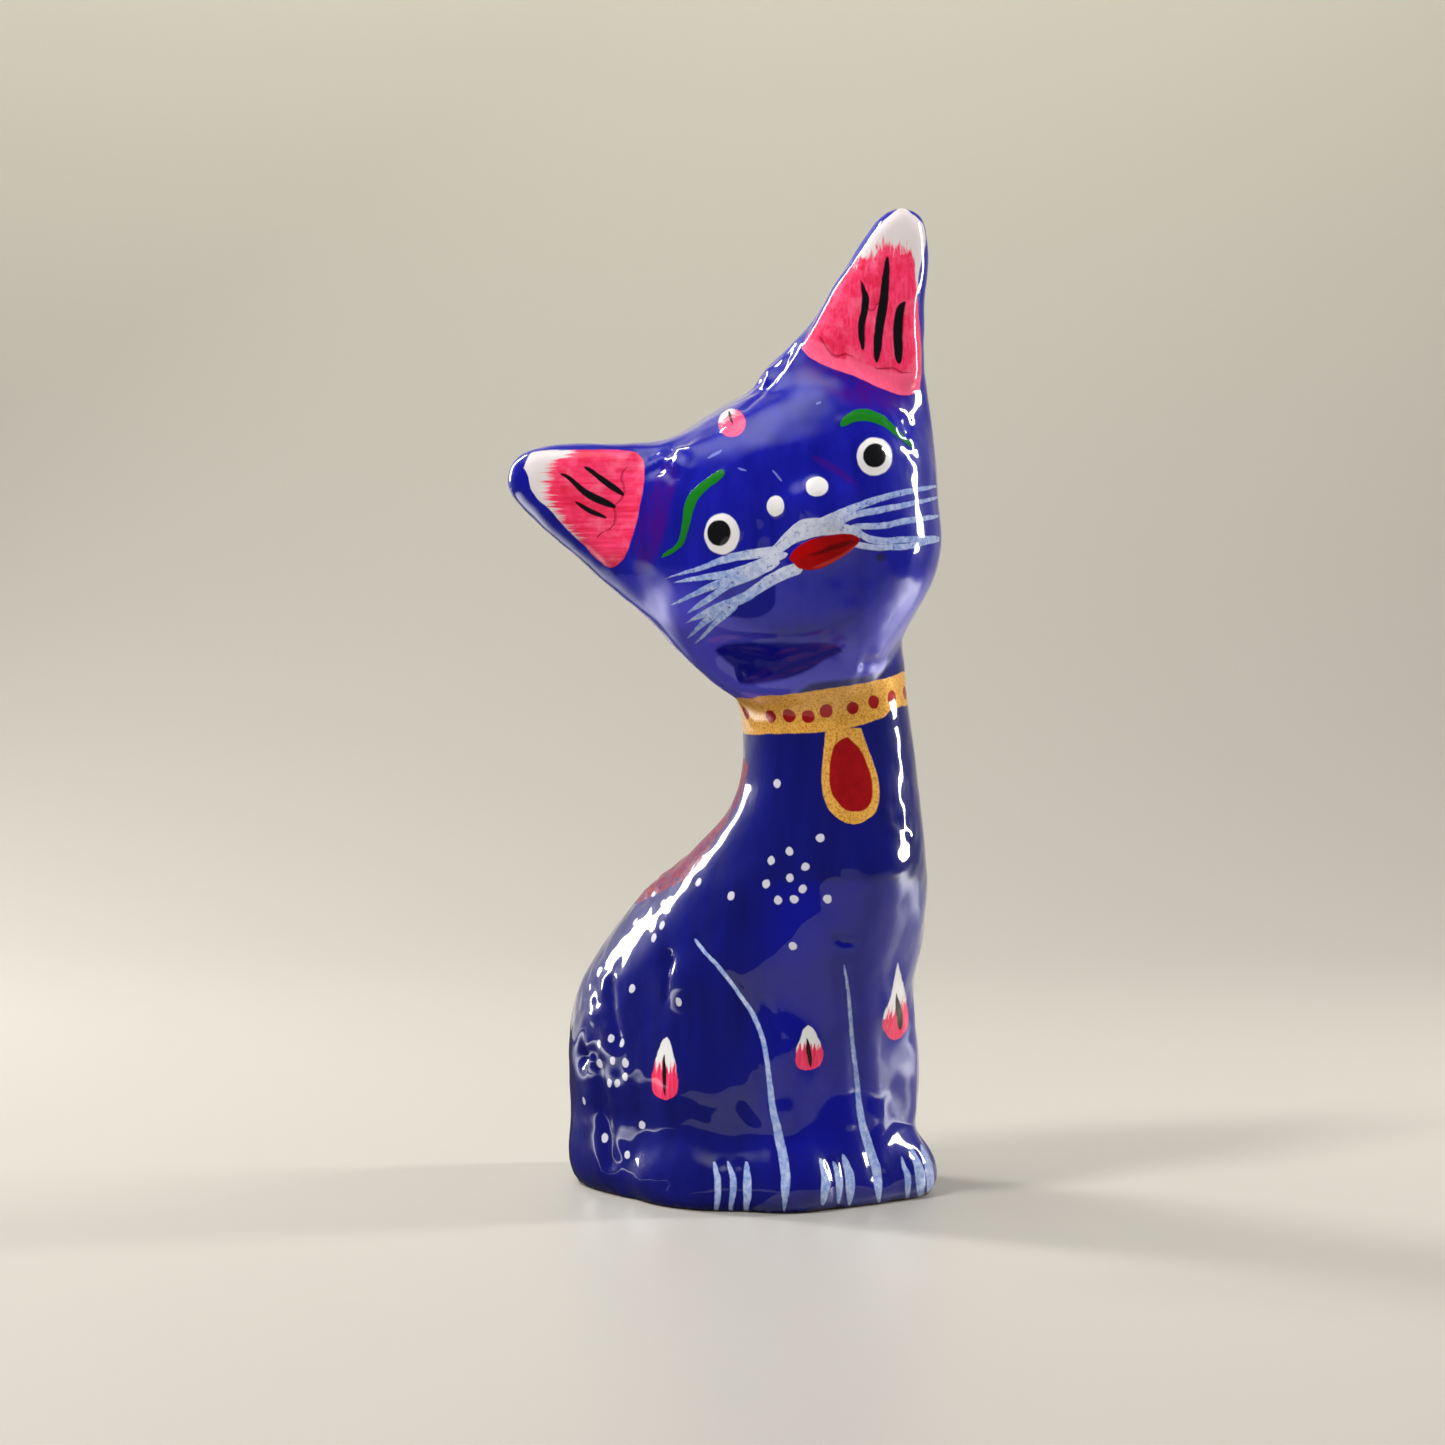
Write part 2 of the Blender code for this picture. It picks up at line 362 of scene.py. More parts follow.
def work_by_hand(piece):
    """Presses lumps, hollows and grooves into the skin, and flattens the underside."""
    mesh = piece.data
    tree = tree_of(piece)
    count = len(mesh.vertices)
    places = np.zeros(count * 3)
    mesh.vertices.foreach_get("co", places)
    places = places.reshape(-1, 3)
    normals = np.array([v.normal for v in mesh.vertices])
    lift = np.array([wavers(Vector(place), WAVER) for place in places])
    rough = np.array([wavers(Vector(place), (PINCHED,)) for place in places])
    for x, y, radius, depth in HOLLOWS:
        for mirrored in (False, True):
            if mirrored and (y < BODY_TOP or depth > 0):
                continue
            lift -= depth * MM * mound(places, on_clay(tree, x, y, mirrored)[0], radius)
    for x, y, radius, height in BLOBS:
        lift += height * MM * mound(places, on_clay(tree, x, y)[0], radius, 8)
    for x, y, radius, height in ROUGH:
        lift += rough * height * 2 * mound(places, on_clay(tree, x, y)[0], radius)
    for number, (pixels, width, depth) in enumerate(GROOVES):
        lines = [[on_clay(tree, *p)[0] for p in pixels]]
        if number < MIRRORED_GROOVES:
            lines.append([on_clay(tree, *p, mirrored=True)[0] for p in pixels])
        gap = along_lines(places, lines)
        lift -= depth * MM * np.exp(-((gap / (width * MM)) ** 2))
    shore = np.clip(places[:, 2] / (SHORE * MM), 0, 1)
    places += normals * (lift * shore + press_panels(places, normals))[:, None]
    low, high = np.array(cad_low), np.array(cad_high)
    places = np.clip(places, low, high)
    places[places[:, 2] < FLAT_BELOW * MM, 2] = 0
    mesh.vertices.foreach_set("co", places.ravel())
    mesh.update()


class Wire:
    """A socket of a node graph, which Python's operators work on."""

    def __init__(self, graph, socket):
        self.graph = graph
        self.socket = socket

    def __add__(self, other):
        return self.graph.maths("ADD", self, other)

    def __sub__(self, other):
        return self.graph.maths("SUBTRACT", self, other)

    def __rsub__(self, other):
        return self.graph.maths("SUBTRACT", other, self)

    def __mul__(self, other):
        return self.graph.maths("MULTIPLY", self, other)

    def __truediv__(self, other):
        return self.graph.maths("DIVIDE", self, other)

    def __rtruediv__(self, other):
        return self.graph.maths("DIVIDE", other, self)

    def __neg__(self):
        return self.graph.maths("MULTIPLY", self, -1)

    def __abs__(self):
        return self.graph.maths("ABSOLUTE", self)

    __radd__ = __add__
    __rmul__ = __mul__

    def clamp(self):
        return self.graph.maths("ADD", self, 0, clamped=True)

    def over(self, other):
        """The larger of two, for masks laid together."""
        return self.graph.maths("MAXIMUM", self, other)

    def under(self, other):
        return self.graph.maths("MINIMUM", self, other)


class Graph:
    """The nodes of a material or a light, written as expressions."""

    def __init__(self, tree):
        self.nodes = tree.nodes
        self.links = tree.links

    def node(self, kind, settings=None, sockets=None, out=0):
        """A node of a kind, its settings first, then the values or links of its sockets."""
        made = self.nodes.new(kind)
        for name, value in (settings or {}).items():
            if name == "points":
                self.set_points(made.mapping, value)
            else:
                setattr(made, name, value)
        for name, value in (sockets or {}).items():
            if isinstance(value, Wire):
                value = value.socket
            if isinstance(value, bpy.types.NodeSocket):
                self.links.new(value, made.inputs[name])
            else:
                made.inputs[name].default_value = value
        return Wire(self, made.outputs[out])

    @staticmethod
    def set_points(mapping, points):
        curve = mapping.curves[0]
        while len(curve.points) < len(points):
            curve.points.new(0.5, 0.5)
        for made, place in zip(curve.points, points):
            made.location = place
        mapping.update()

    def maths(self, operation, first, second=0.0, third=None, clamped=False):
        sockets = {0: first, 1: second}
        if third is not None:
            sockets[2] = third
        return self.node("ShaderNodeMath", {"operation": operation, "use_clamp": clamped}, sockets)

    def vector(self, operation, first, second, out=0):
        return self.node("ShaderNodeVectorMath", {"operation": operation}, {0: first, 1: second}, out)

    def mix(self, share, low, high):
        """A colour between two."""
        low, high = ((*colour, 1) if isinstance(colour, tuple) else colour for colour in (low, high))
        return self.node("ShaderNodeMix", {"data_type": "RGBA"}, {0: share, 6: low, 7: high}, out=2)


class Paint(Graph):
    """One material on the figure's own coordinates."""

    def __init__(self, name):
        self.material = bpy.data.materials.new(name)
        self.material.use_nodes = True
        super().__init__(self.material.node_tree)
        self.nodes.clear()
        self.place = self.node("ShaderNodeTexCoord", out="Object")

    def along(self, way, place=None):
        """How far a place of the figure lies along a direction, in metres."""
        return self.vector("DOT_PRODUCT", place or self.place, tuple(way), "Value")

    def grain(self, scale, detail=2.0, stretch=(1, 1, 1), rough=0.5, shift=0.0):
        """Soft noise from 0 to 1 on the figure, with a scale for each metre, stretched along axes."""
        place = self.vector("MULTIPLY", self.place, tuple(scale * s for s in stretch))
        place = self.vector("ADD", place, (shift, shift * 0.7, shift * 1.3))
        return self.node(
            "ShaderNodeTexNoise", {"noise_dimensions": "3D"},
            {"Vector": place, "Scale": 1.0, "Detail": detail, "Roughness": rough},
        )

    def photo_chart(self, mirrored=False):
        """The photograph's pixel at each place of the figure, as two numbers, a little shaky by hand."""
        place = self.place
        if mirrored:
            place = self.vector("MULTIPLY", place, tuple(MIRROR))
        across = self.along(RIGHT, place) - EYE.dot(RIGHT)
        rise = self.along(UP, place) - EYE.dot(UP)
        depth = EYE.dot(BACK) - self.along(BACK, place)
        x = PHOTO_SIDE / 2 + across / depth * FOCAL_PIXELS
        y = PHOTO_SIDE / 2 - rise / depth * FOCAL_PIXELS
        x = x + (self.grain(420, 2, shift=3.3) - 0.5) * WOBBLE
        y = y + (self.grain(420, 2, shift=9.1) - 0.5) * WOBBLE
        return x, y

    def follow(self, along, stations):
        """A smooth curve through stations of place and value, level beyond its ends."""
        places = [s[0] for s in stations]
        values = [s[1] for s in stations]
        low, high = min(values), max(values)
        span = (high - low) or 1.0
        length = places[-1] - places[0]
        points = [((p - places[0]) / length, (v - low) / span) for p, v in stations]
        share = self.maths("MULTIPLY_ADD", along, 1 / length, -places[0] / length, clamped=True)
        level = self.node("ShaderNodeFloatCurve", {"points": points}, {"Value": share})
        return self.maths("MULTIPLY_ADD", level, span, low)

    def edge(self, inside, softness=1.0):
        """A mask that is 1 well inside, from a distance in pixels."""
        return self.maths("MULTIPLY_ADD", inside, 1 / softness, 0.5, clamped=True)

    def stroke(self, along, across, stations, softness=1.0):
        """A brush stroke through stations of place along, place across and full width."""
        first, last = stations[0], stations[-1]
        slope = (last[1] - first[1]) / (last[0] - first[0])
        lean = math.sqrt(1 + slope * slope)
        centre = self.follow(along, [(s[0], s[1]) for s in stations])
        end = STROKE_END * softness
        half = self.follow(along, [(s[0], s[2] / 2 * lean if s[2] else end) for s in stations])
        return self.edge(half - abs(across - centre), softness)

    def strokes(self, along, across, lines, softness=1.0):
        """Several brush strokes laid together."""
        return joined([self.stroke(along, across, stations, softness) for stations in lines])

    def oval(self, x, y, centre, radii, softness=0.1):
        u = self.maths("MULTIPLY_ADD", x, 1 / radii[0], -centre[0] / radii[0])
        v = self.maths("MULTIPLY_ADD", y, 1 / radii[1], -centre[1] / radii[1])
        reach = self.maths("SQRT", u * u + v * v)
        return self.edge(1 - reach, softness)

    def spots(self, centres, radius, softness=DOT_EDGE):
        """Round dots at places on the figure."""
        shaky = self.vector("ADD", self.place, self.shake())
        reach = None
        for centre in centres:
            gap = self.vector("DISTANCE", shaky, tuple(centre), "Value")
            reach = gap if reach is None else reach.under(gap)
        return self.maths("MULTIPLY_ADD", reach, -1 / softness, radius / softness + 0.5, clamped=True)

    def shake(self):
        """A small hand-made waver, in metres."""
        coloured = self.node(
            "ShaderNodeTexNoise", {"noise_dimensions": "3D"},
            {"Vector": self.place, "Scale": 520, "Detail": 1.0, "Roughness": 0.5}, out="Color",
        )
        centred = self.vector("SUBTRACT", coloured, (0.5, 0.5, 0.5))
        return self.vector("MULTIPLY", centred, (SHAKE, SHAKE, SHAKE))

    def finish(self, colour, metallic=None, relief=None, roughness=0.3, coat=1.0):
        """Paint under clear varnish. Relief is the paint's thickness in metres."""
        sockets = {"Base Color": colour, "Roughness": roughness, "Coat Weight": coat,
                   "Coat Roughness": 0.03, "Coat IOR": 1.5, "Specular IOR Level": 0.05}
        if metallic is not None:
            sockets["Metallic"] = metallic
        swell = (self.grain(900, 3, (1, 1, 0.45), shift=5.5) - 0.5) * VARNISH_SWELL
        if relief is not None:
            swell = swell + relief
        bump = {"Height": swell, "Strength": 1.0, "Distance": 1.0}
        sockets["Normal"] = self.node("ShaderNodeBump", sockets=bump)
        return self.shade(sockets)

    def shade(self, sockets):
        """Ends the material in one shader, and gives the material."""
        shader = self.node("ShaderNodeBsdfPrincipled", sockets=sockets)
        out = self.nodes.new("ShaderNodeOutputMaterial")
        self.links.new(shader.socket, out.inputs["Surface"])
        return self.material


def blue_coat(paint, thick=DEEP_BLUE, thin=BRIGHT_BLUE, dark=NIGHT_BLUE):
    """Deep blue brushed on downwards, thin and bright in places and thick and dark in others."""
    streak = paint.grain(230, 4, (1, 1, 0.10), 0.6, shift=1.7)
    cloud = paint.grain(38, 2, shift=4.0)
    colour = paint.mix(((streak - 0.5) * 2.2 + 0.5).clamp(), thick, thin)
    return paint.mix(((cloud - 0.55) * 3.0).clamp() * 0.6, colour, dark)


def head_coat(paint):
    """The head's blue, painted brighter as painted light where the head is lit more than the shaded chest;
    it deepens to the body's at the throat.
    """
    height = paint.along(UPRIGHT) / MM
    bright = blue_coat(paint, FACE_LIT_BLUE, FACE_LIT_BRIGHT, FACE_LIT_BLUE)
    return paint.mix(paint.follow(height, ((98, 0), (106, 0.25), (120, 1))), blue_coat(paint), bright)


# Edges of the collar where they show, by pixel, and the axis of the neck that they run round.
COLLAR_TOP = ((741, 698), (766, 695.5), (799.5, 693), (833, 688), (866, 682), (890, 677.5), (903, 672))
COLLAR_FOOT = ((748, 734), (775, 734), (799.5, 733), (824, 732), (860, 725), (884, 717), (903, 706))
NECK_AXIS = Vector((-0.5 * MM, -23.5 * MM, 0))
FLAT_BACK = Vector((BACK.x, BACK.y, 0)).normalized()


def round_neck(tree, pixels):
    """Stations of angle and height for an edge of the collar, closed round the hidden side."""
    found = []
    for x, y in pixels:
        point, _ = on_clay(tree, x, y)
        away = point - NECK_AXIS
        found.append((math.atan2(away.dot(RIGHT), away.dot(FLAT_BACK)), point.z))
    found.sort()
    behind = (found[0][1] + found[-1][1]) / 2
    return [(-math.pi, behind), *found, (math.pi, behind)]


def level_at(stations, angle):
    """Height of a collar edge at an angle."""
    for (a, low), (b, high) in zip(stations, stations[1:]):
        if angle <= b:
            return low + (high - low) * (angle - a) / (b - a)
    return stations[-1][1]


def collar_band(paint, top, foot):
    across = paint.along(RIGHT) - NECK_AXIS.dot(RIGHT)
    near = paint.along(FLAT_BACK) - NECK_AXIS.dot(FLAT_BACK)
    height = paint.along(UPRIGHT)
    waver = (paint.grain(300, 1, shift=6.6) - 0.5) * COLLAR_WAVER
    angle = paint.maths("ARCTAN2", across, near)
    inside = (paint.follow(angle, top) - height + waver).under(height - waver - paint.follow(angle, foot))
    return paint.edge(inside / PIXEL, 1.2)


def gilt(paint):
    """Granular gold paint."""
    speck = paint.grain(2600, 2, rough=0.7, shift=2.0)
    cloud = paint.grain(420, 2, shift=7.0)
    colour = paint.mix(((speck - 0.36) * 6).clamp(), GOLD, PALE_GOLD)
    return paint.mix(((cloud - 0.5) * 4).clamp() * 0.35, colour, DULL_GOLD)


# Red dots of the collar, and by row and column the two sides of the pendant and of its drop.
COLLAR_DOTS = ((746, 713), (770.5, 716), (789, 715.5), (808, 716.5), (826, 711), (853, 708), (874, 702),
               (892, 697), (905, 693))
PENDANT_LEFT = ((728, 826), (753, 823.5), (786, 822), (804, 826), (815, 834), (821, 842), (824.5, 853))
PENDANT_RIGHT = ((728, 861), (743, 866), (766, 874), (786, 879), (806, 878), (819, 867.5), (824.5, 853))
DROP_LEFT = ((737, 848), (742, 838), (749, 833), (769, 829.5), (786, 830), (802, 837.5), (812, 852))
DROP_RIGHT = ((737, 848), (742, 853), (748, 859), (766, 867.5), (786, 872.5), (802, 871), (812, 852))


def between(paint, along, across, low_side, high_side, softness=1.2):
    """Inside of an outline given by its two sides."""
    low = paint.follow(along, low_side)
    high = paint.follow(along, high_side)
    ends = (along - low_side[0][0]).under(low_side[-1][0] - along)
    return paint.edge((across - low).under(high - across).under(ends), softness)


def lay_collar(paint, colour, edges, dots, chart=None):
    """Gold band with red dots, and the pendant where a chart is given. Returns colour and gold mask."""
    gold = collar_band(paint, *edges)
    if chart:
        x, y = chart
        gold = gold.over(between(paint, y, x, PENDANT_LEFT, PENDANT_RIGHT))
    colour = paint.mix(gold, colour, gilt(paint))
    red = paint.mix(paint.grain(700, 2, shift=1.1), RED, DARK_RED)
    colour = paint.mix(paint.spots(dots, COLLAR_DOT), colour, red)
    if chart:
        colour = paint.mix(between(paint, y, x, DROP_LEFT, DROP_RIGHT), colour, red)
    return colour, gold


# Share of metal in the gold, and how full the brush was for the pale lines.
GILT = 0.1
LINE_LOAD = 0.42
# Radii of the painted dots.
BODY_DOT = 0.86 * MM
COLLAR_DOT = 1.36 * MM
# White dots on the body, by pixel.
BODY_DOTS = (
    (777, 784), (820, 838), (789.5, 851.5), (771, 860.5), (805, 867), (790, 878), (766, 884), (803, 889),
    (778, 900), (794, 899.5), (827.5, 899), (793, 946), (698.5, 882), (731, 896), (668, 910), (654, 920),
    (662, 925), (635, 922), (653.5, 938), (663, 902.5), (632, 989), (678.5, 1002), (599, 1044),
    (611, 1038.5), (622, 1043), (600, 1063.5), (612.5, 1061), (625.5, 1063), (625, 1077), (609, 1083),
    (617, 1083.5), (584, 1101), (642, 1125), (605, 1138), (627, 1155),
)
# Column that the dots of the haunch lie left of.
HAUNCH_EDGE = 740
# Flower petals, by the pixels of their tip and foot and their width in mm.
PETAL_NEAR_HAUNCH = ((666.5, 1037), (663, 1099), 7.2)
PETAL_LEG = ((808, 1025), (810.5, 1070), 6.3)
# The petal on the far leg, by the pixels of its two sides and its slit, as it lies near the contour.
FAR_PETAL_LEFT = ((963, 898), (975, 895), (992, 892), (1004, 888), (1014, 884), (1024, 882.5),
                  (1033, 885.5), (1040, 895))
FAR_PETAL_RIGHT = ((963, 898), (975, 901), (990, 904.5), (1004, 907), (1015, 908.5), (1024, 908),
                   (1033, 904), (1040, 896))
FAR_PETAL_SLIT = ((991, 896, 0), (999, 897, 3), (1012, 899, 6), (1023, 900, 5), (1030, 900, 0))
# Petals whose thick paint dulls the varnish, by their middle and radii in pixels.
DULL_PETALS = (((896, 1004), (16, 44)), ((809, 1052), (14, 28)))
# Hidden back: millimetres to the cat's left and above the table.
BACK_DOTS = ((0, 51), (-4, 49.5), (4, 49), (-6.2, 45.5), (6, 45), (-4.2, 41.8), (4, 41.2), (0, 45.4),
             (-9, 32), (9, 31), (-10.5, 20), (10, 19.5), (-12.5, 52), (12, 53))
BACK_PETAL = ((0, 35), (0, 21))
BACK_PETAL_WIDTH = 7.0 * MM
# Pale lines down the legs and between the toes: row, column and width in pixels.
LEG_LINES = (
    ((938, 695, 0), (944, 698.5, 4), (968, 719.5, 5), (993, 738.5, 4.5), (1019, 755, 5), (1044, 764, 4.5),
     (1081, 769.5, 5), (1109, 773, 6.5), (1139, 779.5, 8.5), (1176, 785.5, 9), (1200, 785, 5),
     (1214, 783.5, 0)),
    ((964, 844, 0), (972, 845.5, 2.4), (1000, 849, 3.4), (1037, 852, 4), (1073, 856, 4.5),
     (1114, 860.5, 6.5), (1147, 869, 9), (1175, 877, 9), (1192, 878.5, 6), (1206, 878.5, 0)),
)
TOES = (
    ((1161, 714, 0), (1170, 716, 5), (1187, 718, 6.5), (1205, 717, 5), (1217, 715.5, 0)),
    ((1161, 727.5, 0), (1170, 730.5, 5), (1185, 733.5, 6.5), (1203, 731.5, 5), (1217, 729.5, 0)),
    ((1161, 746, 0), (1170, 747, 6), (1189, 747.5, 8.5), (1206, 746.5, 6), (1218, 745.5, 0)),
    ((1158, 820, 0), (1166, 823, 7), (1180, 826, 9.5), (1196, 824, 7), (1206, 822.5, 0)),
    ((1161, 833, 0), (1168, 836, 5), (1180, 839, 7), (1195, 839, 5), (1205, 838, 0)),
    ((1154, 842.5, 0), (1164, 846, 7), (1180, 850, 9.5), (1195, 850, 7), (1206, 849, 0)),
    ((1156, 901, 0), (1166, 904, 4.5), (1180, 908, 6), (1195, 907.5, 4), (1206, 906.5, 0)),
    ((1144, 910, 0), (1158, 915, 7), (1175, 920, 9.5), (1192, 920.5, 7), (1204, 920, 0)),
    ((1143, 920.5, 0), (1156, 925, 6), (1176, 930, 8), (1190, 930, 6), (1199, 929, 0)),
)


def pale_brush(paint, load):
    """Mottled pale blue of the brushed lines: whiter with a full load, and blue where it runs thin."""
    mottle = paint.grain(760, 3, rough=0.65, shift=8.8)
    return paint.mix(((mottle - 0.5) * 2.6 + load).clamp(), WHISKER_BLUE, WHISKER_PALE)


def joined(masks):
    whole = masks[0]
    for mask in masks[1:]:
        whole = whole.over(mask)
    return whole


# How far a petal's paint reaches through the clay, and half the width of its slit.
PETAL_REACH = 6 * MM
SLIT_WIDTH = 0.62 * MM


def streaked_pink(paint, hair):
    return paint.mix(((hair - 0.5) * 3 + 0.5).clamp(), DEEP_PINK, PINK)


def lay_petal(paint, colour, centre, normal, tip, width):
    """A petal, white at its tip and pink below in hair-fine streaks, with a black slit."""
    rise = (tip - centre) - normal * (tip - centre).dot(normal)
    length = rise.length
    up = rise / length
    side = up.cross(normal).normalized()
    if side.dot(RIGHT) < 0:
        side = -side
    shaky = paint.vector("ADD", paint.place, paint.shake())
    u = paint.along(side, shaky) - centre.dot(side)
    v = (paint.along(up, shaky) - centre.dot(up)) / length
    depth = paint.along(normal, shaky) - centre.dot(normal)
    profile = paint.follow(v, ((-1.02, -0.12), (-0.96, 0.5), (-0.75, 0.9), (-0.42, 1.0), (0, 0.88),
                               (0.4, 0.62), (0.8, 0.34), (1.04, -0.12)))
    body = paint.edge((profile * (width / 2) - abs(u)) / PIXEL, 1.2)
    body = body * paint.edge((PETAL_REACH - abs(depth)) / PIXEL, 2)
    hair = paint.grain(1500, 3, (1, 1, 0.12), 0.6, shift=centre.z * 900)
    pale = ((v - 0.06 + (hair - 0.5) * 1.7) * 5 + 0.5).clamp()
    colour = paint.mix(body, colour, paint.mix(pale, streaked_pink(paint, hair), WHITE))
    slit = paint.follow(v, ((-0.92, 0), (-0.75, 0.55), (-0.3, 1.0), (0.1, 0.8), (0.45, 0)))
    bend = paint.follow(v, ((-0.92, 0.35), (-0.3, 0.0), (0.45, -0.45)))
    black = paint.edge((slit * SLIT_WIDTH - abs(u - bend * MM)) / PIXEL - 0.3, 1.0)
    return paint.mix(black * body, colour, BLACK)


def lay_far_petal(paint, colour, x, y):
    """The petal that the photograph shows foreshortened at the edge of the far leg."""
    hair = paint.grain(1500, 3, (1, 1, 0.12), 0.6, shift=31.0)
    pale = ((1008 - y + (x - 896) * -0.8 + (hair - 0.5) * 50) / 6 + 0.5).clamp()
    body = between(paint, y, x, FAR_PETAL_LEFT, FAR_PETAL_RIGHT)
    colour = paint.mix(body, colour, paint.mix(pale, streaked_pink(paint, hair), WHITE))
    return paint.mix(paint.stroke(y, x, FAR_PETAL_SLIT), colour, BLACK)


def petal_at(tree, tip, foot, width, mirrored=False):
    """Centre, normal, tip and width in metres of a petal between two pixels."""
    (tip_x, tip_y), (foot_x, foot_y) = tip, foot
    centre, normal = on_clay(tree, (tip_x + foot_x) / 2, (tip_y + foot_y) / 2, mirrored)
    top, _ = on_clay(tree, tip_x, tip_y, mirrored)
    return centre, normal, top, width * MM


def on_back(tree, side, height):
    """Point and outward normal of the back, at millimetres to the cat's left and above the table."""
    point, normal, _, _ = tree.ray_cast(Vector((side * MM, 0.2, height * MM)), Vector((0, -1, 0)))
    return point, normal


def neck_dots(tree, edges, angles):
    """Places of collar dots on the hidden side, by their angle in degrees from the view."""
    found = []
    for degrees in angles:
        angle = math.radians(degrees)
        way = RIGHT * math.sin(angle) + FLAT_BACK * math.cos(angle)
        height = (level_at(edges[0], angle) + level_at(edges[1], angle)) / 2
        start = Vector((NECK_AXIS.x, NECK_AXIS.y, height)) + way * 60 * MM
        hit, _, _, _ = tree.ray_cast(start, -way)
        found.append(hit)
    return found


def lay_marks(paint, colour, x, y, lines, points):
    """Pale lines and white dots of the body. Returns the colour and the mask of both."""
    lines = paint.strokes(y, x, lines)
    colour = paint.mix(lines, colour, pale_brush(paint, LINE_LOAD))
    dots = paint.spots(points, BODY_DOT)
    return paint.mix(dots, colour, DOT_WHITE), dots.over(lines)


def near_side(tree, edges):
    """The side that the photograph shows, from the haunch round to the chest and front paws."""
    paint = Paint("near_side")
    x, y = paint.photo_chart()
    blue = blue_coat(paint)
    # Painted light: the belly's blue brighter towards the front and low down, for light from the floor.
    rows = paint.follow(y, ((880, 0), (905, 1), (1130, 1), (1155, 0.5)))
    thin = paint.follow(x, ((745, 0), (790, 1))) * rows
    blue = paint.mix(thin * 0.6, blue, BELLY_LIGHT_BLUE)
    blue = lay_jaw_reflection(paint, blue, x, y)
    spine = brushed_spine(paint, (x, y))
    colour = lay_rust(paint, blue, spine)
    points = [on_clay(tree, *p)[0] for p in BODY_DOTS]
    colour, marks = lay_marks(paint, colour, x, y, (*LEG_LINES, *TOES), points)
    for petal in (PETAL_NEAR_HAUNCH, PETAL_LEG):
        colour = lay_petal(paint, colour, *petal_at(tree, *petal))
    colour = lay_far_petal(paint, colour, x, y)
    dull = joined([paint.oval(x, y, *petal, softness=0.5) for petal in DULL_PETALS])
    ring = [on_clay(tree, *p)[0] for p in COLLAR_DOTS]
    colour, gold = lay_collar(paint, colour, edges, ring, (x, y))
    relief = marks * THICK_PAINT + gold * GOLD_PAINT
    return paint.finish(colour, gold * GILT, relief, coat=(1 - spine * 1.2 - dull * 0.6).clamp())


# Edge of the brushed band where it shows, by row and column.
SPINE_EDGE = ((757, 742), (762, 747), (780, 746), (795, 742), (815, 731), (835, 719), (850, 709),
              (865, 698), (878, 686), (888, 669), (897, 651), (903, 640))
# Millimetres from the middle of the back to the middle of the brushed band, towards the cat's right.
SPINE_SIDE = 5


def brushed_spine(paint, chart=None):
    """Rust red dragged down the spine with a dry brush; with a chart, up to its edge in the photograph."""
    bristle = paint.grain(850, 4, (1, 1, 0.10), 0.7, shift=3.9)
    if chart:
        x, y = chart
        ends = (y - SPINE_EDGE[0][0]).under(SPINE_EDGE[-1][0] - y)
        inside = (paint.follow(y, SPINE_EDGE) - x).under(ends) / 5 + (bristle - 0.5) * 1.9
        cover = (inside * 3 + 0.3).clamp()
    else:
        side = abs(paint.along((1, 0, 0)) / MM + SPINE_SIDE)
        height = paint.along(UPRIGHT) / MM
        width = paint.follow(height, ((52, -6), (58, 8), (64, 17), (72, 17), (80, 15), (88, 12), (93, -6)))
        inside = (width - side) / 6 + (bristle - 0.5) * 2.6
        cover = (inside * 2.4).clamp()
    gaps = paint.grain(1500, 3, (1, 1, 0.2), 0.7, shift=6.2)
    return cover * ((gaps - 0.36) * 6).clamp() * 0.85


def lay_rust(paint, colour, spine):
    warm = paint.grain(620, 3, (1, 1, 0.12), 0.6, shift=8.1)
    rust = paint.mix(((warm - 0.5) * 4 + 0.3).clamp(), RUST, ORANGE_RUST)
    return paint.mix(spine, colour, rust)


def far_side(tree, edges):
    """The cat's left side, which repeats the haunch of the near side."""
    paint = Paint("far_side")
    chart = paint.photo_chart(mirrored=True)
    colour = lay_rust(paint, blue_coat(paint), brushed_spine(paint))
    points = [on_clay(tree, x, y, mirrored=True)[0] for x, y in BODY_DOTS if x < HAUNCH_EDGE]
    colour, marks = lay_marks(paint, colour, *chart, (*LEG_LINES[:1], *TOES[:3]), points)
    colour = lay_petal(paint, colour, *petal_at(tree, *PETAL_NEAR_HAUNCH, mirrored=True))
    colour, gold = lay_collar(paint, colour, edges, neck_dots(tree, edges, range(96, 180, 15)))
    relief = marks * THICK_PAINT + gold * GOLD_PAINT
    return paint.finish(colour, gold * GILT, relief)


def back_side(tree, edges):
    """The back, with the brushed spine, and a petal under a ring of dots."""
    paint = Paint("back_side")
    colour = lay_rust(paint, blue_coat(paint), brushed_spine(paint))
    dots = paint.spots([on_back(tree, *p)[0] for p in BACK_DOTS], BODY_DOT)
    colour = paint.mix(dots, colour, DOT_WHITE)
    tip, foot = (on_back(tree, *p)[0] for p in BACK_PETAL)
    centre, normal = on_back(tree, 0, (BACK_PETAL[0][1] + BACK_PETAL[1][1]) / 2)
    colour = lay_petal(paint, colour, centre, normal, tip, BACK_PETAL_WIDTH)
    colour, gold = lay_collar(paint, colour, edges, neck_dots(tree, edges, range(-172, -84, 15)))
    return paint.finish(colour, gold * GILT, gold * GOLD_PAINT)


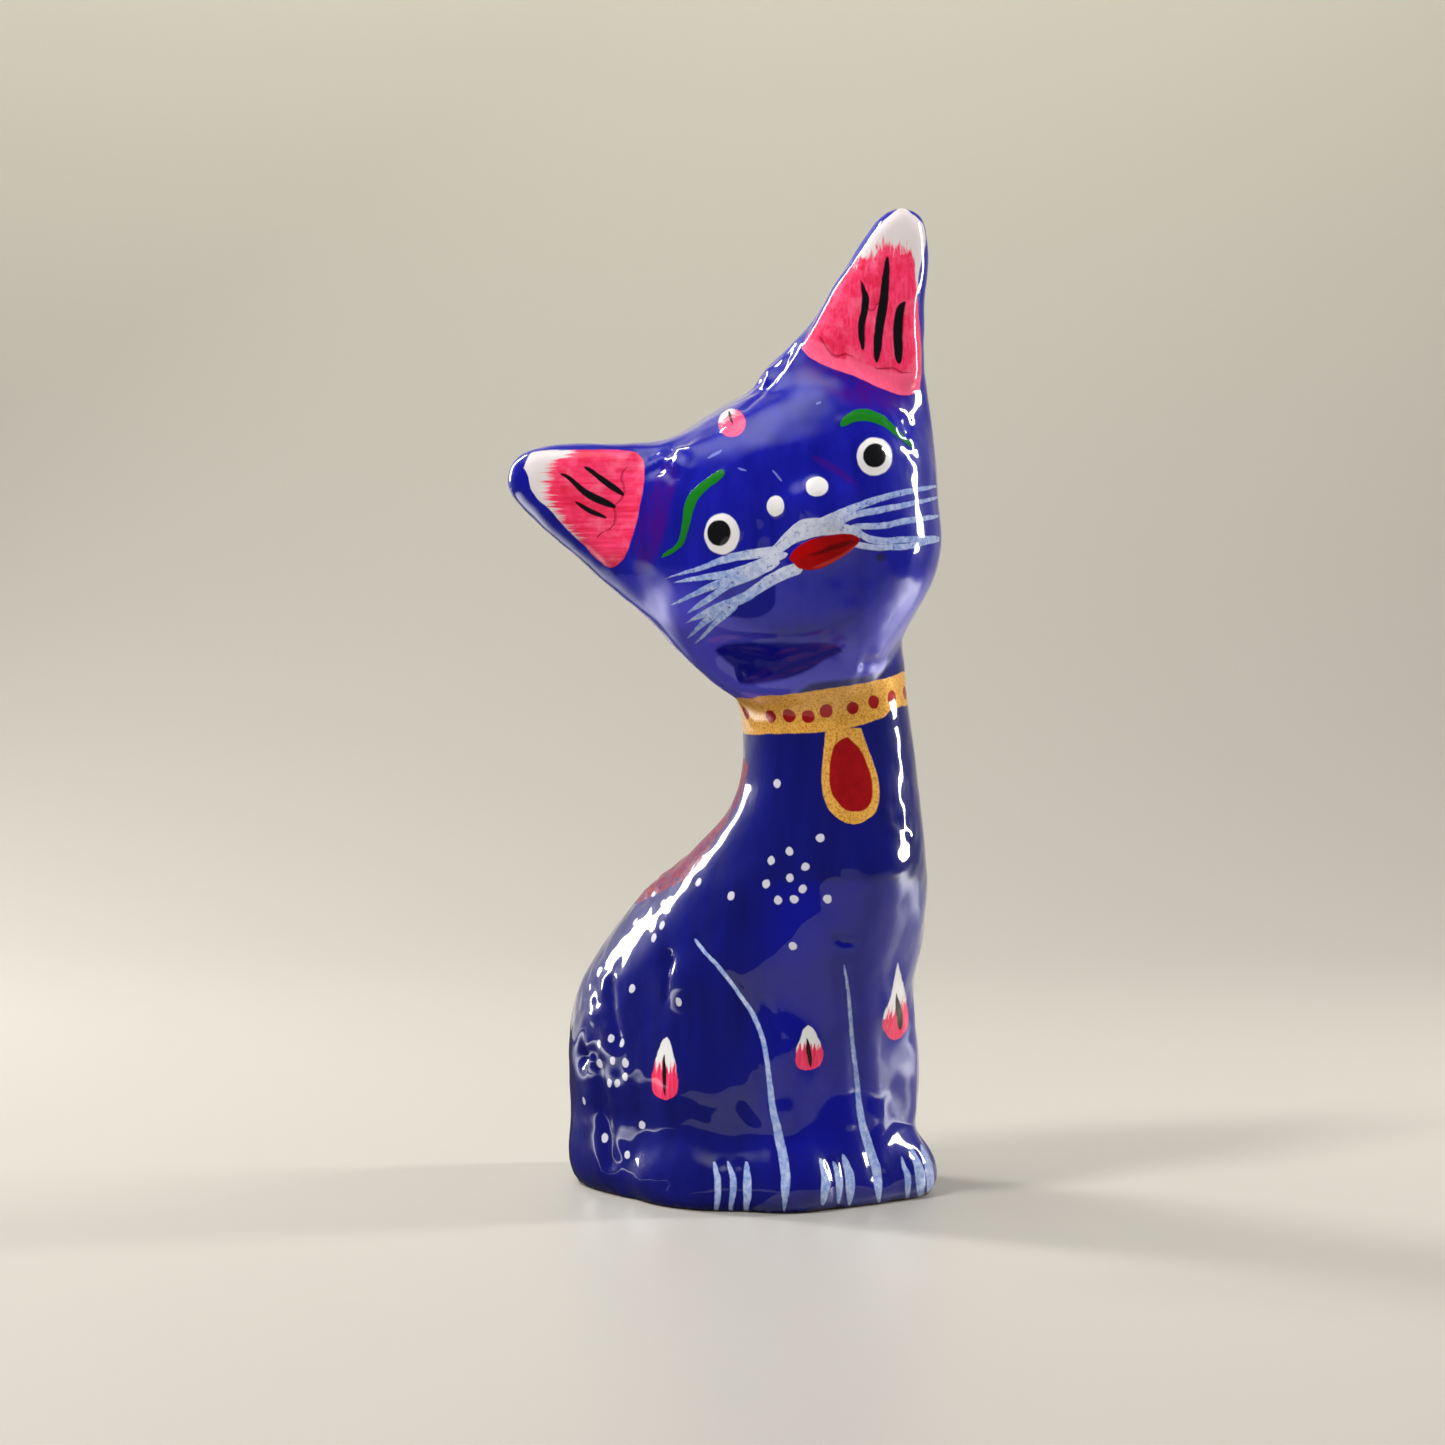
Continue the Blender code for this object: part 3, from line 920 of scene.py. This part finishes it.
# The face by pixel: middle and radii of each oval, and place along, place across and width of each stroke.
EYES = (((722, 534), (17.5, 20.4)), ((874.5, 456.5), (17.7, 19)))
PUPILS = (((719, 533), (11.8, 13)), ((874.5, 455.5), (11.4, 12)))
NOSE_DOTS = (((775.5, 506), (8.8, 10.2)), ((817, 486.5), (11.2, 10)))
LEFT_BROW = ((469, 722, 0), (472, 720, 7), (478, 714.5, 12), (486, 704, 12), (494, 696, 11), (505, 690, 9),
             (533, 684, 6), (545, 679, 6), (551, 671, 7.5), (555, 666, 5), (558, 662, 0))
RIGHT_BROW = ((840, 424, 0), (845, 421, 10), (860.5, 415, 11.5), (879, 419, 11), (895, 431, 8.5),
              (910, 444, 5), (916, 449, 0))
WHISKERS = (
    ((660, 580, 0), (680, 574, 2.5), (701, 568, 5), (732, 557.5, 8), (771, 551.5, 9), (785, 549, 0)),
    ((672, 583, 0), (682, 581, 2.5), (707, 577, 6), (728, 574, 8), (771, 559.5, 9), (788, 554, 0)),
    ((669, 606, 0), (680, 601, 3), (701, 591, 6), (722, 582, 8), (762.5, 563.5, 9), (778, 558, 0)),
    ((686, 614, 0), (694, 608.5, 3.5), (709.5, 598.5, 7), (730, 584, 8), (754, 574, 9), (780, 562, 0)),
    ((684, 624, 0), (696, 618, 4), (711.5, 610.5, 8), (742, 598.5, 10), (771, 580, 12), (797, 569, 11),
     (803, 568, 0)),
    ((686, 639, 0), (692, 634, 3), (701, 625, 5.5), (722, 610.5, 7), (735, 603, 0)),
    ((693, 645, 0), (702, 637, 3), (713.5, 625, 5), (728, 612.5, 6), (738, 606, 0)),
    ((812, 526, 0), (820, 523, 9), (862.5, 504.5, 7), (895, 494.5, 6), (932, 487, 3), (938, 486, 0)),
    ((820, 530, 0), (830, 527, 9), (854, 515, 7), (889, 508.5, 6), (933, 498.5, 3), (939, 497, 0)),
    ((846, 530, 0), (856, 527, 6), (881, 526, 6), (905, 521, 6), (933, 517, 4), (939, 516, 0)),
    ((848, 528, 0), (856, 531, 7), (881, 541, 7), (905, 539.5, 6), (934, 538, 4), (940, 538, 0)),
    ((852, 541, 0), (858, 545, 6), (884, 547.5, 6), (932, 541, 5), (940, 540, 0)),
)
MUZZLE = ((762, 560, 0), (770, 556, 14), (786, 541, 17), (803, 530, 20), (825, 527, 16), (848, 531, 12),
          (862, 536, 0))
MOUTH_TOP = ((789.5, 558), (795, 549.5), (809, 540.5), (828, 535.5), (849, 534), (856, 536), (860, 541))
MOUTH_BOTTOM = ((789.5, 558), (795, 565), (801, 569), (813.5, 570), (832, 563), (854, 547.5), (860, 541))
# Painted shade along the crease of the mouth.
MOUTH_CREASE = ((803, 557, 0), (814, 554, 2.5), (830, 548.5, 4.5), (845, 544, 4.5), (858, 540.5, 0))
# Painted highlight along the lower lip.
LIP_HIGHLIGHT = ((812, 568, 0), (822, 565, 3), (838, 558, 3.5), (850, 550, 3), (858, 544, 0))
# Painted reflection: reddish streaks under the chin.
CHIN_REFLECTION_STREAKS = (
    ((740, 683, 0), (752, 677, 4), (775, 667, 6), (800, 656, 6), (825, 649, 4), (840, 645, 0)),
    ((742, 685, 0), (765, 680, 3), (790, 672, 4), (820, 660, 3), (838, 651, 0)),
    ((772, 657, 0), (785, 652, 5), (805, 648, 6), (832, 646, 4), (842, 645, 0)),
)
# Painted shade under the whiskers, and where the painted reflection on the jaw ends above the collar.
CHEEK_TOP = ((714, 612), (735, 606), (755, 592), (768, 582), (776, 588))
CHEEK_FOOT = ((714, 613), (736, 617), (749, 618.5), (758, 617), (770, 611), (776, 590))
JAW_REFLECTION_FOOT = ((735, 702), (790, 698), (812, 686), (848, 681), (880, 674), (890, 654), (906, 636))
# Painted shade in the hollow under the chin, in deep blue.
THROAT_TOP = ((715, 651), (721, 646), (733, 643), (760, 642), (800, 643), (825, 643), (838, 647),
              (842, 652))
THROAT_FOOT = ((715, 651), (724, 659), (734, 668), (742, 684), (770, 682), (800, 674), (825, 660),
               (842, 652))
# Part of the face that the painted reflection on the jaw leaves out, and middle of the muzzle where the
# whiskers run thick.
JAW_REFLECTION_GAP = ((800, 560), (104, 88))
MUZZLE_MIDDLE = ((800, 545), (62, 42))
FOREHEAD_PETAL = ((732, 423), (13.5, 14))
WHITE_TO_PINK = (730, 421)
FOREHEAD_SLIT = ((411, 729, 0), (416, 730, 3), (425, 733, 0))
SMALL_SPOT = ((881, 557), (5.5, 4.5))
# Nicks that left thin pale streaks, and a smear of purple between the eyes.
NICKS = (
    ((707, 458, 0), (711, 456, 2.4), (718, 452.5, 2.4), (722, 450, 0)),
    ((772, 470.5, 0), (775, 473, 2.0), (780, 479, 2.0), (782, 481, 0)),
    ((816, 404, 0), (818, 403, 2.4), (823, 400, 2.4), (826, 398.5, 0)),
    ((738, 468, 0), (740, 469, 1.8), (744, 470, 1.8), (747, 471.5, 0)),
)
SMEAR = ((810, 457, 0), (824, 463, 6), (842, 474, 7), (852, 481, 4), (860, 487, 0))


def lay_jaw_reflection(paint, colour, x, y):
    """Painted reflection: pale bright blue on the cheeks and chin, down to the thick blue above the
    collar.
    """
    cheeks = (1 - paint.oval(x, y, *JAW_REFLECTION_GAP, 0.35)) * paint.follow(y, ((565, 0), (605, 1)))
    near = paint.along(BACK) / MM
    chin = ((paint.follow(x, JAW_REFLECTION_FOOT) - y) / 4).clamp()
    return paint.mix(cheeks * paint.follow(near, ((22, 0), (32, 1))) * chin * 0.75, colour, JAW_REFLECTION_BLUE)


def face():
    paint = Paint("face")
    x, y = paint.photo_chart()
    colour = head_coat(paint)
    colour = lay_purple(paint, colour, x, y)
    colour = lay_jaw_reflection(paint, colour, x, y)
    # Painted shade: deep blue in the hollow under the chin and under the whiskers, with less varnish
    # there.
    throat = between(paint, x, y, THROAT_TOP, THROAT_FOOT, 4)
    throat = throat.over(between(paint, x, y, CHEEK_TOP, CHEEK_FOOT, 3))
    colour = paint.mix(throat, colour, THROAT_SHADE_BLUE)
    # Painted reflection: reddish streaks under the chin.
    chin = paint.strokes(x, y, CHIN_REFLECTION_STREAKS, 4)
    bristle = paint.grain(420, 4, (0.35, 0.35, 1.6), 0.7, shift=12.0)
    colour = paint.mix(chin * ((bristle - 0.4) * 4).clamp() * 0.55, colour, CHIN_REFLECTION_RED)
    whiskers = paint.strokes(x, y, (*WHISKERS, MUZZLE))
    thin = paint.grain(1300, 3, (1, 1, 1), 0.7, shift=2.9)
    dry = whiskers * ((thin - 0.28) * 7).clamp()
    middle = paint.oval(x, y, *MUZZLE_MIDDLE, 0.9)
    colour = paint.mix(dry, colour, pale_brush(paint, middle * 0.45 + 0.4))
    colour = paint.mix(dry * middle * 0.3, colour, WHITE)
    for centre, radii in NOSE_DOTS:
        colour = paint.mix(paint.oval(x, y, centre, radii), colour, WHITE)
    brows = paint.stroke(y, x, LEFT_BROW).over(paint.stroke(x, y, RIGHT_BROW))
    colour = paint.mix(brows, colour, GREEN)
    for eye, pupil in zip(EYES, PUPILS):
        colour = paint.mix(paint.oval(x, y, *eye, softness=0.07), colour, WHITE)
        colour = paint.mix(paint.oval(x, y, *pupil), colour, BLACK)
    lips = between(paint, x, y, MOUTH_TOP, MOUTH_BOTTOM)
    # Painted shade: the lips darker towards the right and along the crease.
    lip_shade = paint.follow(x, ((788, -0.1), (812, 0.1), (835, 0.35), (860, 0.5)))
    mottle = paint.grain(500, 2, shift=4.2)
    lip_red = paint.mix((lip_shade + (mottle - 0.5) * 0.9).clamp(), LIP_RED, LIP_SHADE_RED)
    lip_red = paint.mix(paint.stroke(x, y, MOUTH_CREASE, 3) * 0.75, lip_red, CREASE_SHADE_RED)
    # Painted highlight on the lower lip.
    lip_red = paint.mix(paint.stroke(x, y, LIP_HIGHLIGHT, 2) * 0.6, lip_red, LIP_HIGHLIGHT_RED)
    colour = paint.mix(lips, colour, lip_red)
    colour = paint.mix(paint.stroke(x, y, SMEAR, 5) * 0.6, colour, PURPLE)
    colour = paint.mix(paint.strokes(x, y, NICKS) * 0.7, colour, NICK_BLUE)
    petal = paint.oval(x, y, *FOREHEAD_PETAL)
    hair = paint.grain(1100, 3, (1, 0.3, 1), 0.6, shift=1.4)
    diagonal = (x - WHITE_TO_PINK[0]) * 0.6 + (y - WHITE_TO_PINK[1]) * 0.8
    pale = ((-diagonal / 10 + (hair - 0.5) * 2) * 2 - 0.4).clamp()
    colour = paint.mix(petal, colour, paint.mix(pale, PINK, WHITE))
    colour = paint.mix(paint.stroke(y, x, FOREHEAD_SLIT), colour, BLACK)
    colour = paint.mix(paint.oval(x, y, *SMALL_SPOT, softness=0.3) * 0.8, colour, NIGHT_BLUE)
    relief = dry.over(brows).over(lips) * THICK_PAINT
    return paint.finish(colour, relief=relief, coat=1 - lips.over(throat * 0.8))


# Purple patches by the middle and radii of slanted ovals.
LOW_PURPLE = ((785, 516), (14, 50))
LOW_SLANT = 0.25
HIGH_PURPLE = ((855, 113), (56, 17))
HIGH_SLANT = -0.32


def lay_purple(paint, colour, x, y):
    """Purple where pink was rubbed into the wet blue, beside the ears."""
    low = paint.oval(x + y * LOW_SLANT, y, *LOW_PURPLE, 0.5)
    high = paint.oval(x, y + x * HIGH_SLANT, *HIGH_PURPLE, 0.8)
    brushed = ((paint.grain(300, 3, (1, 1, 0.3), 0.6, shift=3.0) - 0.25) * 3).clamp()
    return paint.mix(low.over(high) * brushed * 0.9, colour, PURPLE)


# The ears by pixel: edges of the pink panels, their white tips and their smoother foot, then the strokes.
HIGH_LEFT = ((207, 901), (213, 893), (227, 878), (256, 858.5), (288, 836), (325, 815), (343, 804),
             (396, 795))
HIGH_RIGHT = ((207, 903), (213, 911), (219, 918), (236, 925.5), (251, 924), (282, 918), (312, 918.5),
              (342, 921), (370, 921.5), (396, 918))
HIGH_FOOT = ((800, 340), (806, 354), (826, 366), (856.5, 377), (887, 390.5), (907, 395.5), (918, 391),
             (926, 372))
HIGH_WHITE = ((850, 262), (857, 259), (872, 256), (881, 244), (899.5, 248), (912, 256), (915, 268),
              (918, 298), (921, 335), (926, 350))
HIGH_STROKES = (
    ((280, 859, 0), (290, 864, 5), (300, 865.5, 7), (328, 861.5, 7), (340, 862, 6), (350, 863, 0)),
    ((256, 887.5, 0), (268, 886.5, 6), (297, 884, 9), (335, 878.5, 9), (355, 877, 6), (363, 877, 0)),
    ((301, 907, 0), (307, 901, 8), (320, 898.5, 9), (340, 898, 9.5), (355, 898.5, 8), (364, 899, 0)),
)
HIGH_CRACKS = (
    ((819, 336, 0), (823, 341, 2), (828, 350, 1.6), (837, 357, 2.4), (845, 355, 1.6), (858, 360, 0)),
    ((874, 366, 0), (880, 369, 1.6), (893, 369, 2.2), (903, 373, 1.4), (913, 372, 0)),
    ((864, 312, 0), (868, 309, 2), (872, 311, 1.6), (877, 305, 2), (881, 304, 0)),
)
HIGH_BAND = ((803, 338), (823, 343), (837, 358), (856, 361), (877, 368), (911, 375), (926, 376))
LOW_TOP = ((524, 468), (527, 460), (533, 452), (545, 450.5), (570, 450), (633, 451.5), (640, 456),
           (645, 464))
LOW_FOOT = ((524, 468), (527, 474), (533, 493), (550, 510), (566, 528), (583, 544.5), (599.5, 561),
            (608, 567), (619, 567), (645, 567))
LOW_RIGHT = ((450, 638), (461, 643.5), (475, 644.5), (508, 639.5), (541, 631), (556, 625), (565, 617),
             (568, 608))
LOW_WHITE = ((450, 575), (457, 568), (463, 551), (480, 548), (490, 546), (503, 551), (523, 566),
             (533, 573), (545, 583))
LOW_STROKES = (
    ((584, 467, 0), (590, 470, 4), (600, 478, 5.5), (614, 488, 6.5), (624, 494.5, 0)),
    ((560, 474, 0), (567, 477, 4), (586, 493, 7), (603, 501.5, 7), (616, 507, 0)),
    ((575, 502, 0), (580, 505, 4), (590, 511, 5), (600, 515, 4), (607, 518, 0)),
)
LOW_CRACK = ((466, 630, 0), (477, 622, 2), (489, 624.5, 1.4), (499, 622, 2.2), (508, 614.5, 1.6),
             (518, 616, 2), (528, 611, 1.6), (533, 602, 2), (539, 597, 0))


def ear_paint(paint, x, y, panel, pale, strokes, crack, hair, band=0.0):
    """A finished ear: a pink panel with a white tip, black strokes, cracks and a smoother foot."""
    colour = lay_purple(paint, head_coat(paint), x, y)
    pale = ((pale + (hair - 0.5) * 46) / 9 + 0.5).clamp()
    cloud = paint.grain(240, 3, rough=0.6, shift=9.9)
    pink = paint.mix(((cloud - 0.5) * 5).clamp() * 0.45, streaked_pink(paint, hair), PALE_PINK)
    blotch = paint.grain(150, 3, rough=0.65, shift=14.2)
    pink = paint.mix(((blotch - 0.52) * 7).clamp() * 0.6, pink, BLOTCH_RED)
    pink = paint.mix(band, pink, BAND_PINK)
    pink = paint.mix(pale, pink, EAR_WHITE)
    pink = paint.mix(crack * 0.4, pink, CRACK_RED)
    colour = paint.mix(panel, colour, pink)
    colour = paint.mix(strokes * panel, colour, BLACK)
    relief = panel * THICK_PAINT - crack * CRACK_DEPTH
    return paint.finish(colour, relief=relief, coat=1 - panel * 0.4)


def high_ear():
    paint = Paint("high_ear")
    x, y = paint.photo_chart()
    inside = (x - paint.follow(y, HIGH_LEFT)).under(paint.follow(y, HIGH_RIGHT) - x)
    panel = paint.edge(inside.under(paint.follow(x, HIGH_FOOT) - y), 1.2)
    hair = paint.grain(1500, 3, (1, 1, 0.08), 0.6, shift=2.3)
    pale = paint.follow(x, HIGH_WHITE) - y
    strokes = paint.strokes(y, x, HIGH_STROKES)
    crack = paint.strokes(x, y, HIGH_CRACKS)
    band = paint.edge(y - paint.follow(x, HIGH_BAND), 3) * 0.6
    return ear_paint(paint, x, y, panel, pale, strokes, crack, hair, band)


def low_ear():
    paint = Paint("low_ear")
    x, y = paint.photo_chart()
    inside = (y - paint.follow(x, LOW_TOP)).under(paint.follow(x, LOW_FOOT) - y)
    panel = paint.edge(inside.under(paint.follow(y, LOW_RIGHT) - x).under(x - LOW_TOP[0][0]), 1.2)
    turned = paint.along(UP)
    fibre = paint.node("ShaderNodeCombineXYZ", sockets={0: turned * 1500, 1: x * 0.02, 2: 0.0})
    hair = paint.node("ShaderNodeTexNoise", {"noise_dimensions": "3D"},
                      {"Vector": fibre, "Scale": 1.0, "Detail": 3.0, "Roughness": 0.6})
    pale = paint.follow(y, LOW_WHITE) - x
    strokes = paint.strokes(x, y, LOW_STROKES)
    crack = paint.stroke(y, x, LOW_CRACK)
    return ear_paint(paint, x, y, panel, pale, strokes, crack, hair)


def nape():
    """The back of the head and of the ears, plain."""
    paint = Paint("nape")
    return paint.finish(head_coat(paint))


def bare_clay():
    """The unpainted underside."""
    paint = Paint("bare_clay")
    speck = paint.grain(900, 3, rough=0.7)
    colour = paint.mix(speck, CLAY, PALE_CLAY)
    return paint.finish(colour, roughness=0.85, coat=0.0)


# Material slots, and by pixel the line under the chin and the corners of the boxes round the ears.
NEAR, FAR, REAR, FACE, HIGH_EAR, LOW_EAR, NAPE, UNDER = range(8)
CHIN_LINE = (740, 690)
CHIN_SLOPE = -0.165
HIGH_EAR_BOX = (795, 402)
LOW_EAR_BOX = (650, 575)


def region(centre, normal):
    """Which paint a face of the skin takes."""
    if centre.z < 0.2 * MM and normal.z < -0.9:
        return UNDER
    seen = normal.dot(BACK) > 0.0
    x, y = pixel_of(centre)
    if y < CHIN_LINE[1] + (x - CHIN_LINE[0]) * CHIN_SLOPE:
        if not seen:
            return NAPE
        if x > HIGH_EAR_BOX[0] and y < HIGH_EAR_BOX[1]:
            return HIGH_EAR
        if x < LOW_EAR_BOX[0] and y < LOW_EAR_BOX[1]:
            return LOW_EAR
        return FACE
    if seen:
        return NEAR
    if (normal * MIRROR).dot(BACK) > 0.0:
        return FAR
    return REAR


def paint_cat(piece):
    tree = tree_of(piece)
    edges = round_neck(tree, COLLAR_TOP), round_neck(tree, COLLAR_FOOT)
    mesh = piece.data
    mesh.materials.clear()
    body = near_side(tree, edges), far_side(tree, edges), back_side(tree, edges)
    for material in (*body, face(), high_ear(), low_ear(), nape(), bare_clay()):
        mesh.materials.append(material)
    slots = [region(polygon.center, polygon.normal) for polygon in mesh.polygons]
    mesh.polygons.foreach_set("material_index", slots)
    mesh.shade_smooth()


def make_cat():
    cat = fine_copy("cat_figure")
    work_by_hand(cat)
    paint_cat(cat)
    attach(cat, "root")
    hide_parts("cat_figure")


# Colours of the stage and the room, as linear red, green and blue; then how many faces the sweep has
# each way, and its sizes in metres.
FLOOR_TONE = (0.40, 0.38, 0.335)
WALL_TONE = (0.90, 0.84, 0.67)
ROOM_TONE = (0.85, 0.84, 0.90)
ROOM_LIGHT = 0.05
SWEEP_ROWS = 160
SWEEP_COLUMNS = 40
FLOOR_GAP = 0.0003
SWEEP_WIDTH = 5.0
SWEEP_LENGTH = 5.0
SWEEP_FRONT = 1.6
SWEEP_FLAT = 0.45
SWEEP_RADIUS = 0.9
# Floor that the varnish doesn't show, to the left of a place across, from a nearer to a farther row.
DIM_FLOOR = ((0.0, -0.06, 0.35), (-0.1, -SWEEP_FRONT, -0.06), (0.05, -SWEEP_FRONT, -0.45))


def stage_place(place):
    """A place given across, away from the camera and up."""
    across, away, rise = place
    return RIGHT * across - FLAT_BACK * away + UPRIGHT * rise


def sweep_part(name, kept):
    """The part of the sweep that is kept by a test of its place across and away from the camera."""
    bpy.ops.object.select_all(action="DESELECT")
    bpy.ops.mesh.primitive_grid_add(x_subdivisions=SWEEP_COLUMNS, y_subdivisions=SWEEP_ROWS, size=1)
    part = bpy.context.object
    part.name = name
    bm = bmesh.new()
    bm.from_mesh(part.data)
    for vertex in bm.verts:
        vertex.co.x *= SWEEP_WIDTH
        vertex.co.y = (vertex.co.y + 0.5) * SWEEP_LENGTH - SWEEP_FRONT
    bmesh.ops.delete(bm, geom=[f for f in bm.faces if not kept(f.calc_center_median())], context="FACES")
    for vertex in bm.verts:
        across, away, _ = vertex.co
        rise = 0.0
        bend = (away - SWEEP_FLAT) / SWEEP_RADIUS
        if bend > 0:
            turn = min(bend, math.pi / 2)
            rise = SWEEP_RADIUS * (1 - math.cos(turn)) + max(bend - math.pi / 2, 0) * SWEEP_RADIUS
            away = SWEEP_FLAT + SWEEP_RADIUS * math.sin(turn)
        vertex.co = stage_place((across, away, rise - FLOOR_GAP))
    bm.to_mesh(part.data)
    bm.free()
    part.data.shade_smooth()
    return part


def dim_side(place):
    """Whether a place of the floor is too dark to show in the varnish."""
    across, away, _ = place
    return any(across < right and near < away < far for right, near, far in DIM_FLOOR)


def make_stage():
    """A plain pale sweep: floor that turns up into a backdrop."""
    paint = Paint("pale_sweep")
    height = paint.along(UPRIGHT)
    # Painted light: the sweep grows paler with height, for more light on the backdrop.
    colour = paint.mix(paint.follow(height, ((0.0, 0), (0.12, 0.15), (0.5, 1))), FLOOR_TONE, WALL_TONE)
    ground = paint.shade({"Base Color": colour, "Roughness": 0.42})
    bright = sweep_part("sweep", lambda place: not dim_side(place))
    dim = sweep_part("dim_floor", dim_side)
    dim.visible_glossy = False
    for part in (bright, dim):
        part.data.materials.append(ground)


def fade_to_edges(light):
    """Makes a box brightest in its middle and dark at its edges, as a diffuser does."""
    light.use_nodes = True
    graph = Graph(light.node_tree)
    spot = graph.node("ShaderNodeNewGeometry", out="Parametric")
    away = graph.vector("DISTANCE", spot, (0.5, 0.5, 0), "Value")
    fade = graph.node("ShaderNodeMapRange", {"interpolation_type": "SMOOTHSTEP"},
                      {"Value": away, "From Min": 0.5, "From Max": 0.05})
    graph.links.new(fade.socket, graph.nodes["Emission"].inputs["Strength"])


def softbox(name, place, target, size, watts, faded=False):
    light = bpy.data.lights.new(name, "AREA")
    light.shape = "RECTANGLE"
    light.size, light.size_y = size
    light.energy = watts
    if faded:
        fade_to_edges(light)
    box = bpy.data.objects.new(name, light)
    bpy.context.scene.collection.objects.link(box)
    box.location = place
    box.rotation_euler = (Vector(target) - Vector(place)).to_track_quat("-Z", "Y").to_euler()
    return box


# What the lights point at: the middle of the figure, and the backdrop.
MIDDLE = (0, 0, 0.11)
WALL = UPRIGHT * 0.6 - FLAT_BACK * 1.35
# Lights that the varnish doesn't show: name, place across, away and up, target, size and watts.
HIDDEN_LIGHTS = (
    ("key_box", (-0.7, -0.8, 1.35), MIDDLE, (0.28, 0.28), 20.5),
    ("front_fill", (0, -1.6, 0.5), MIDDLE, (0.8, 0.8), 5.5),
    ("wall_wash", (0, 0.7, 0.9), WALL, (1.4, 0.2), 1.2),
)
# Bright places on the floor that only the varnish shows: name, place, size and watts.
FLOOR_GLOWS = (
    ("right_glow", (0.37, 0.08, 0.002), (0.44, 0.44), 2.6),
    ("left_glow", (-0.27, 0.06, 0.002), (0.44, 0.28), 1.8),
)
# Lights whose shapes are the highlights.
STRIPS = (
    ("left_strip", (-0.57, 0.41, 0.42), (0.13, 0.62), 7.0),
    ("star_box", (-0.50, 0.42, 0.80), (0.10, 0.10), 0.85),
    ("right_strip", (0.62, 0.14, 0.32), (0.09, 0.42), 4.4),
)


def make_light():
    """A broad box overhead, a small key, a fill, a wash on the backdrop, and strips for the highlights."""
    world = bpy.data.worlds.new("studio")
    world.use_nodes = True
    background = world.node_tree.nodes["Background"]
    background.inputs["Color"].default_value = (*ROOM_TONE, 1)
    background.inputs["Strength"].default_value = ROOM_LIGHT
    bpy.context.scene.world = world
    softbox("top_box", stage_place((-0.35, -0.1, 1.4)), MIDDLE, (2.0, 2.0), 32, True)
    for name, place, target, size, watts in HIDDEN_LIGHTS:
        softbox(name, stage_place(place), target, size, watts).visible_glossy = False
    for name, place, size, watts in FLOOR_GLOWS:
        place = stage_place(place)
        glow = softbox(name, place, place + UPRIGHT, size, watts, True)
        glow.visible_camera = glow.visible_diffuse = False
    for name, place, size, watts in STRIPS:
        softbox(name, stage_place(place), MIDDLE, size, watts)
    bpy.context.scene.view_settings.view_transform = "Standard"


def make_camera():
    lens = bpy.data.cameras.new("photo_camera")
    lens.sensor_width = SENSOR_WIDTH
    lens.lens = FOCAL_PIXELS * SENSOR_WIDTH / PHOTO_SIDE
    camera = bpy.data.objects.new("photo_camera", lens)
    bpy.context.scene.collection.objects.link(camera)
    camera.location = EYE
    camera.rotation_euler = (-BACK).to_track_quat("-Z", "Y").to_euler()
    bpy.context.scene.camera = camera


make_camera()
make_cat()
make_stage()
make_light()
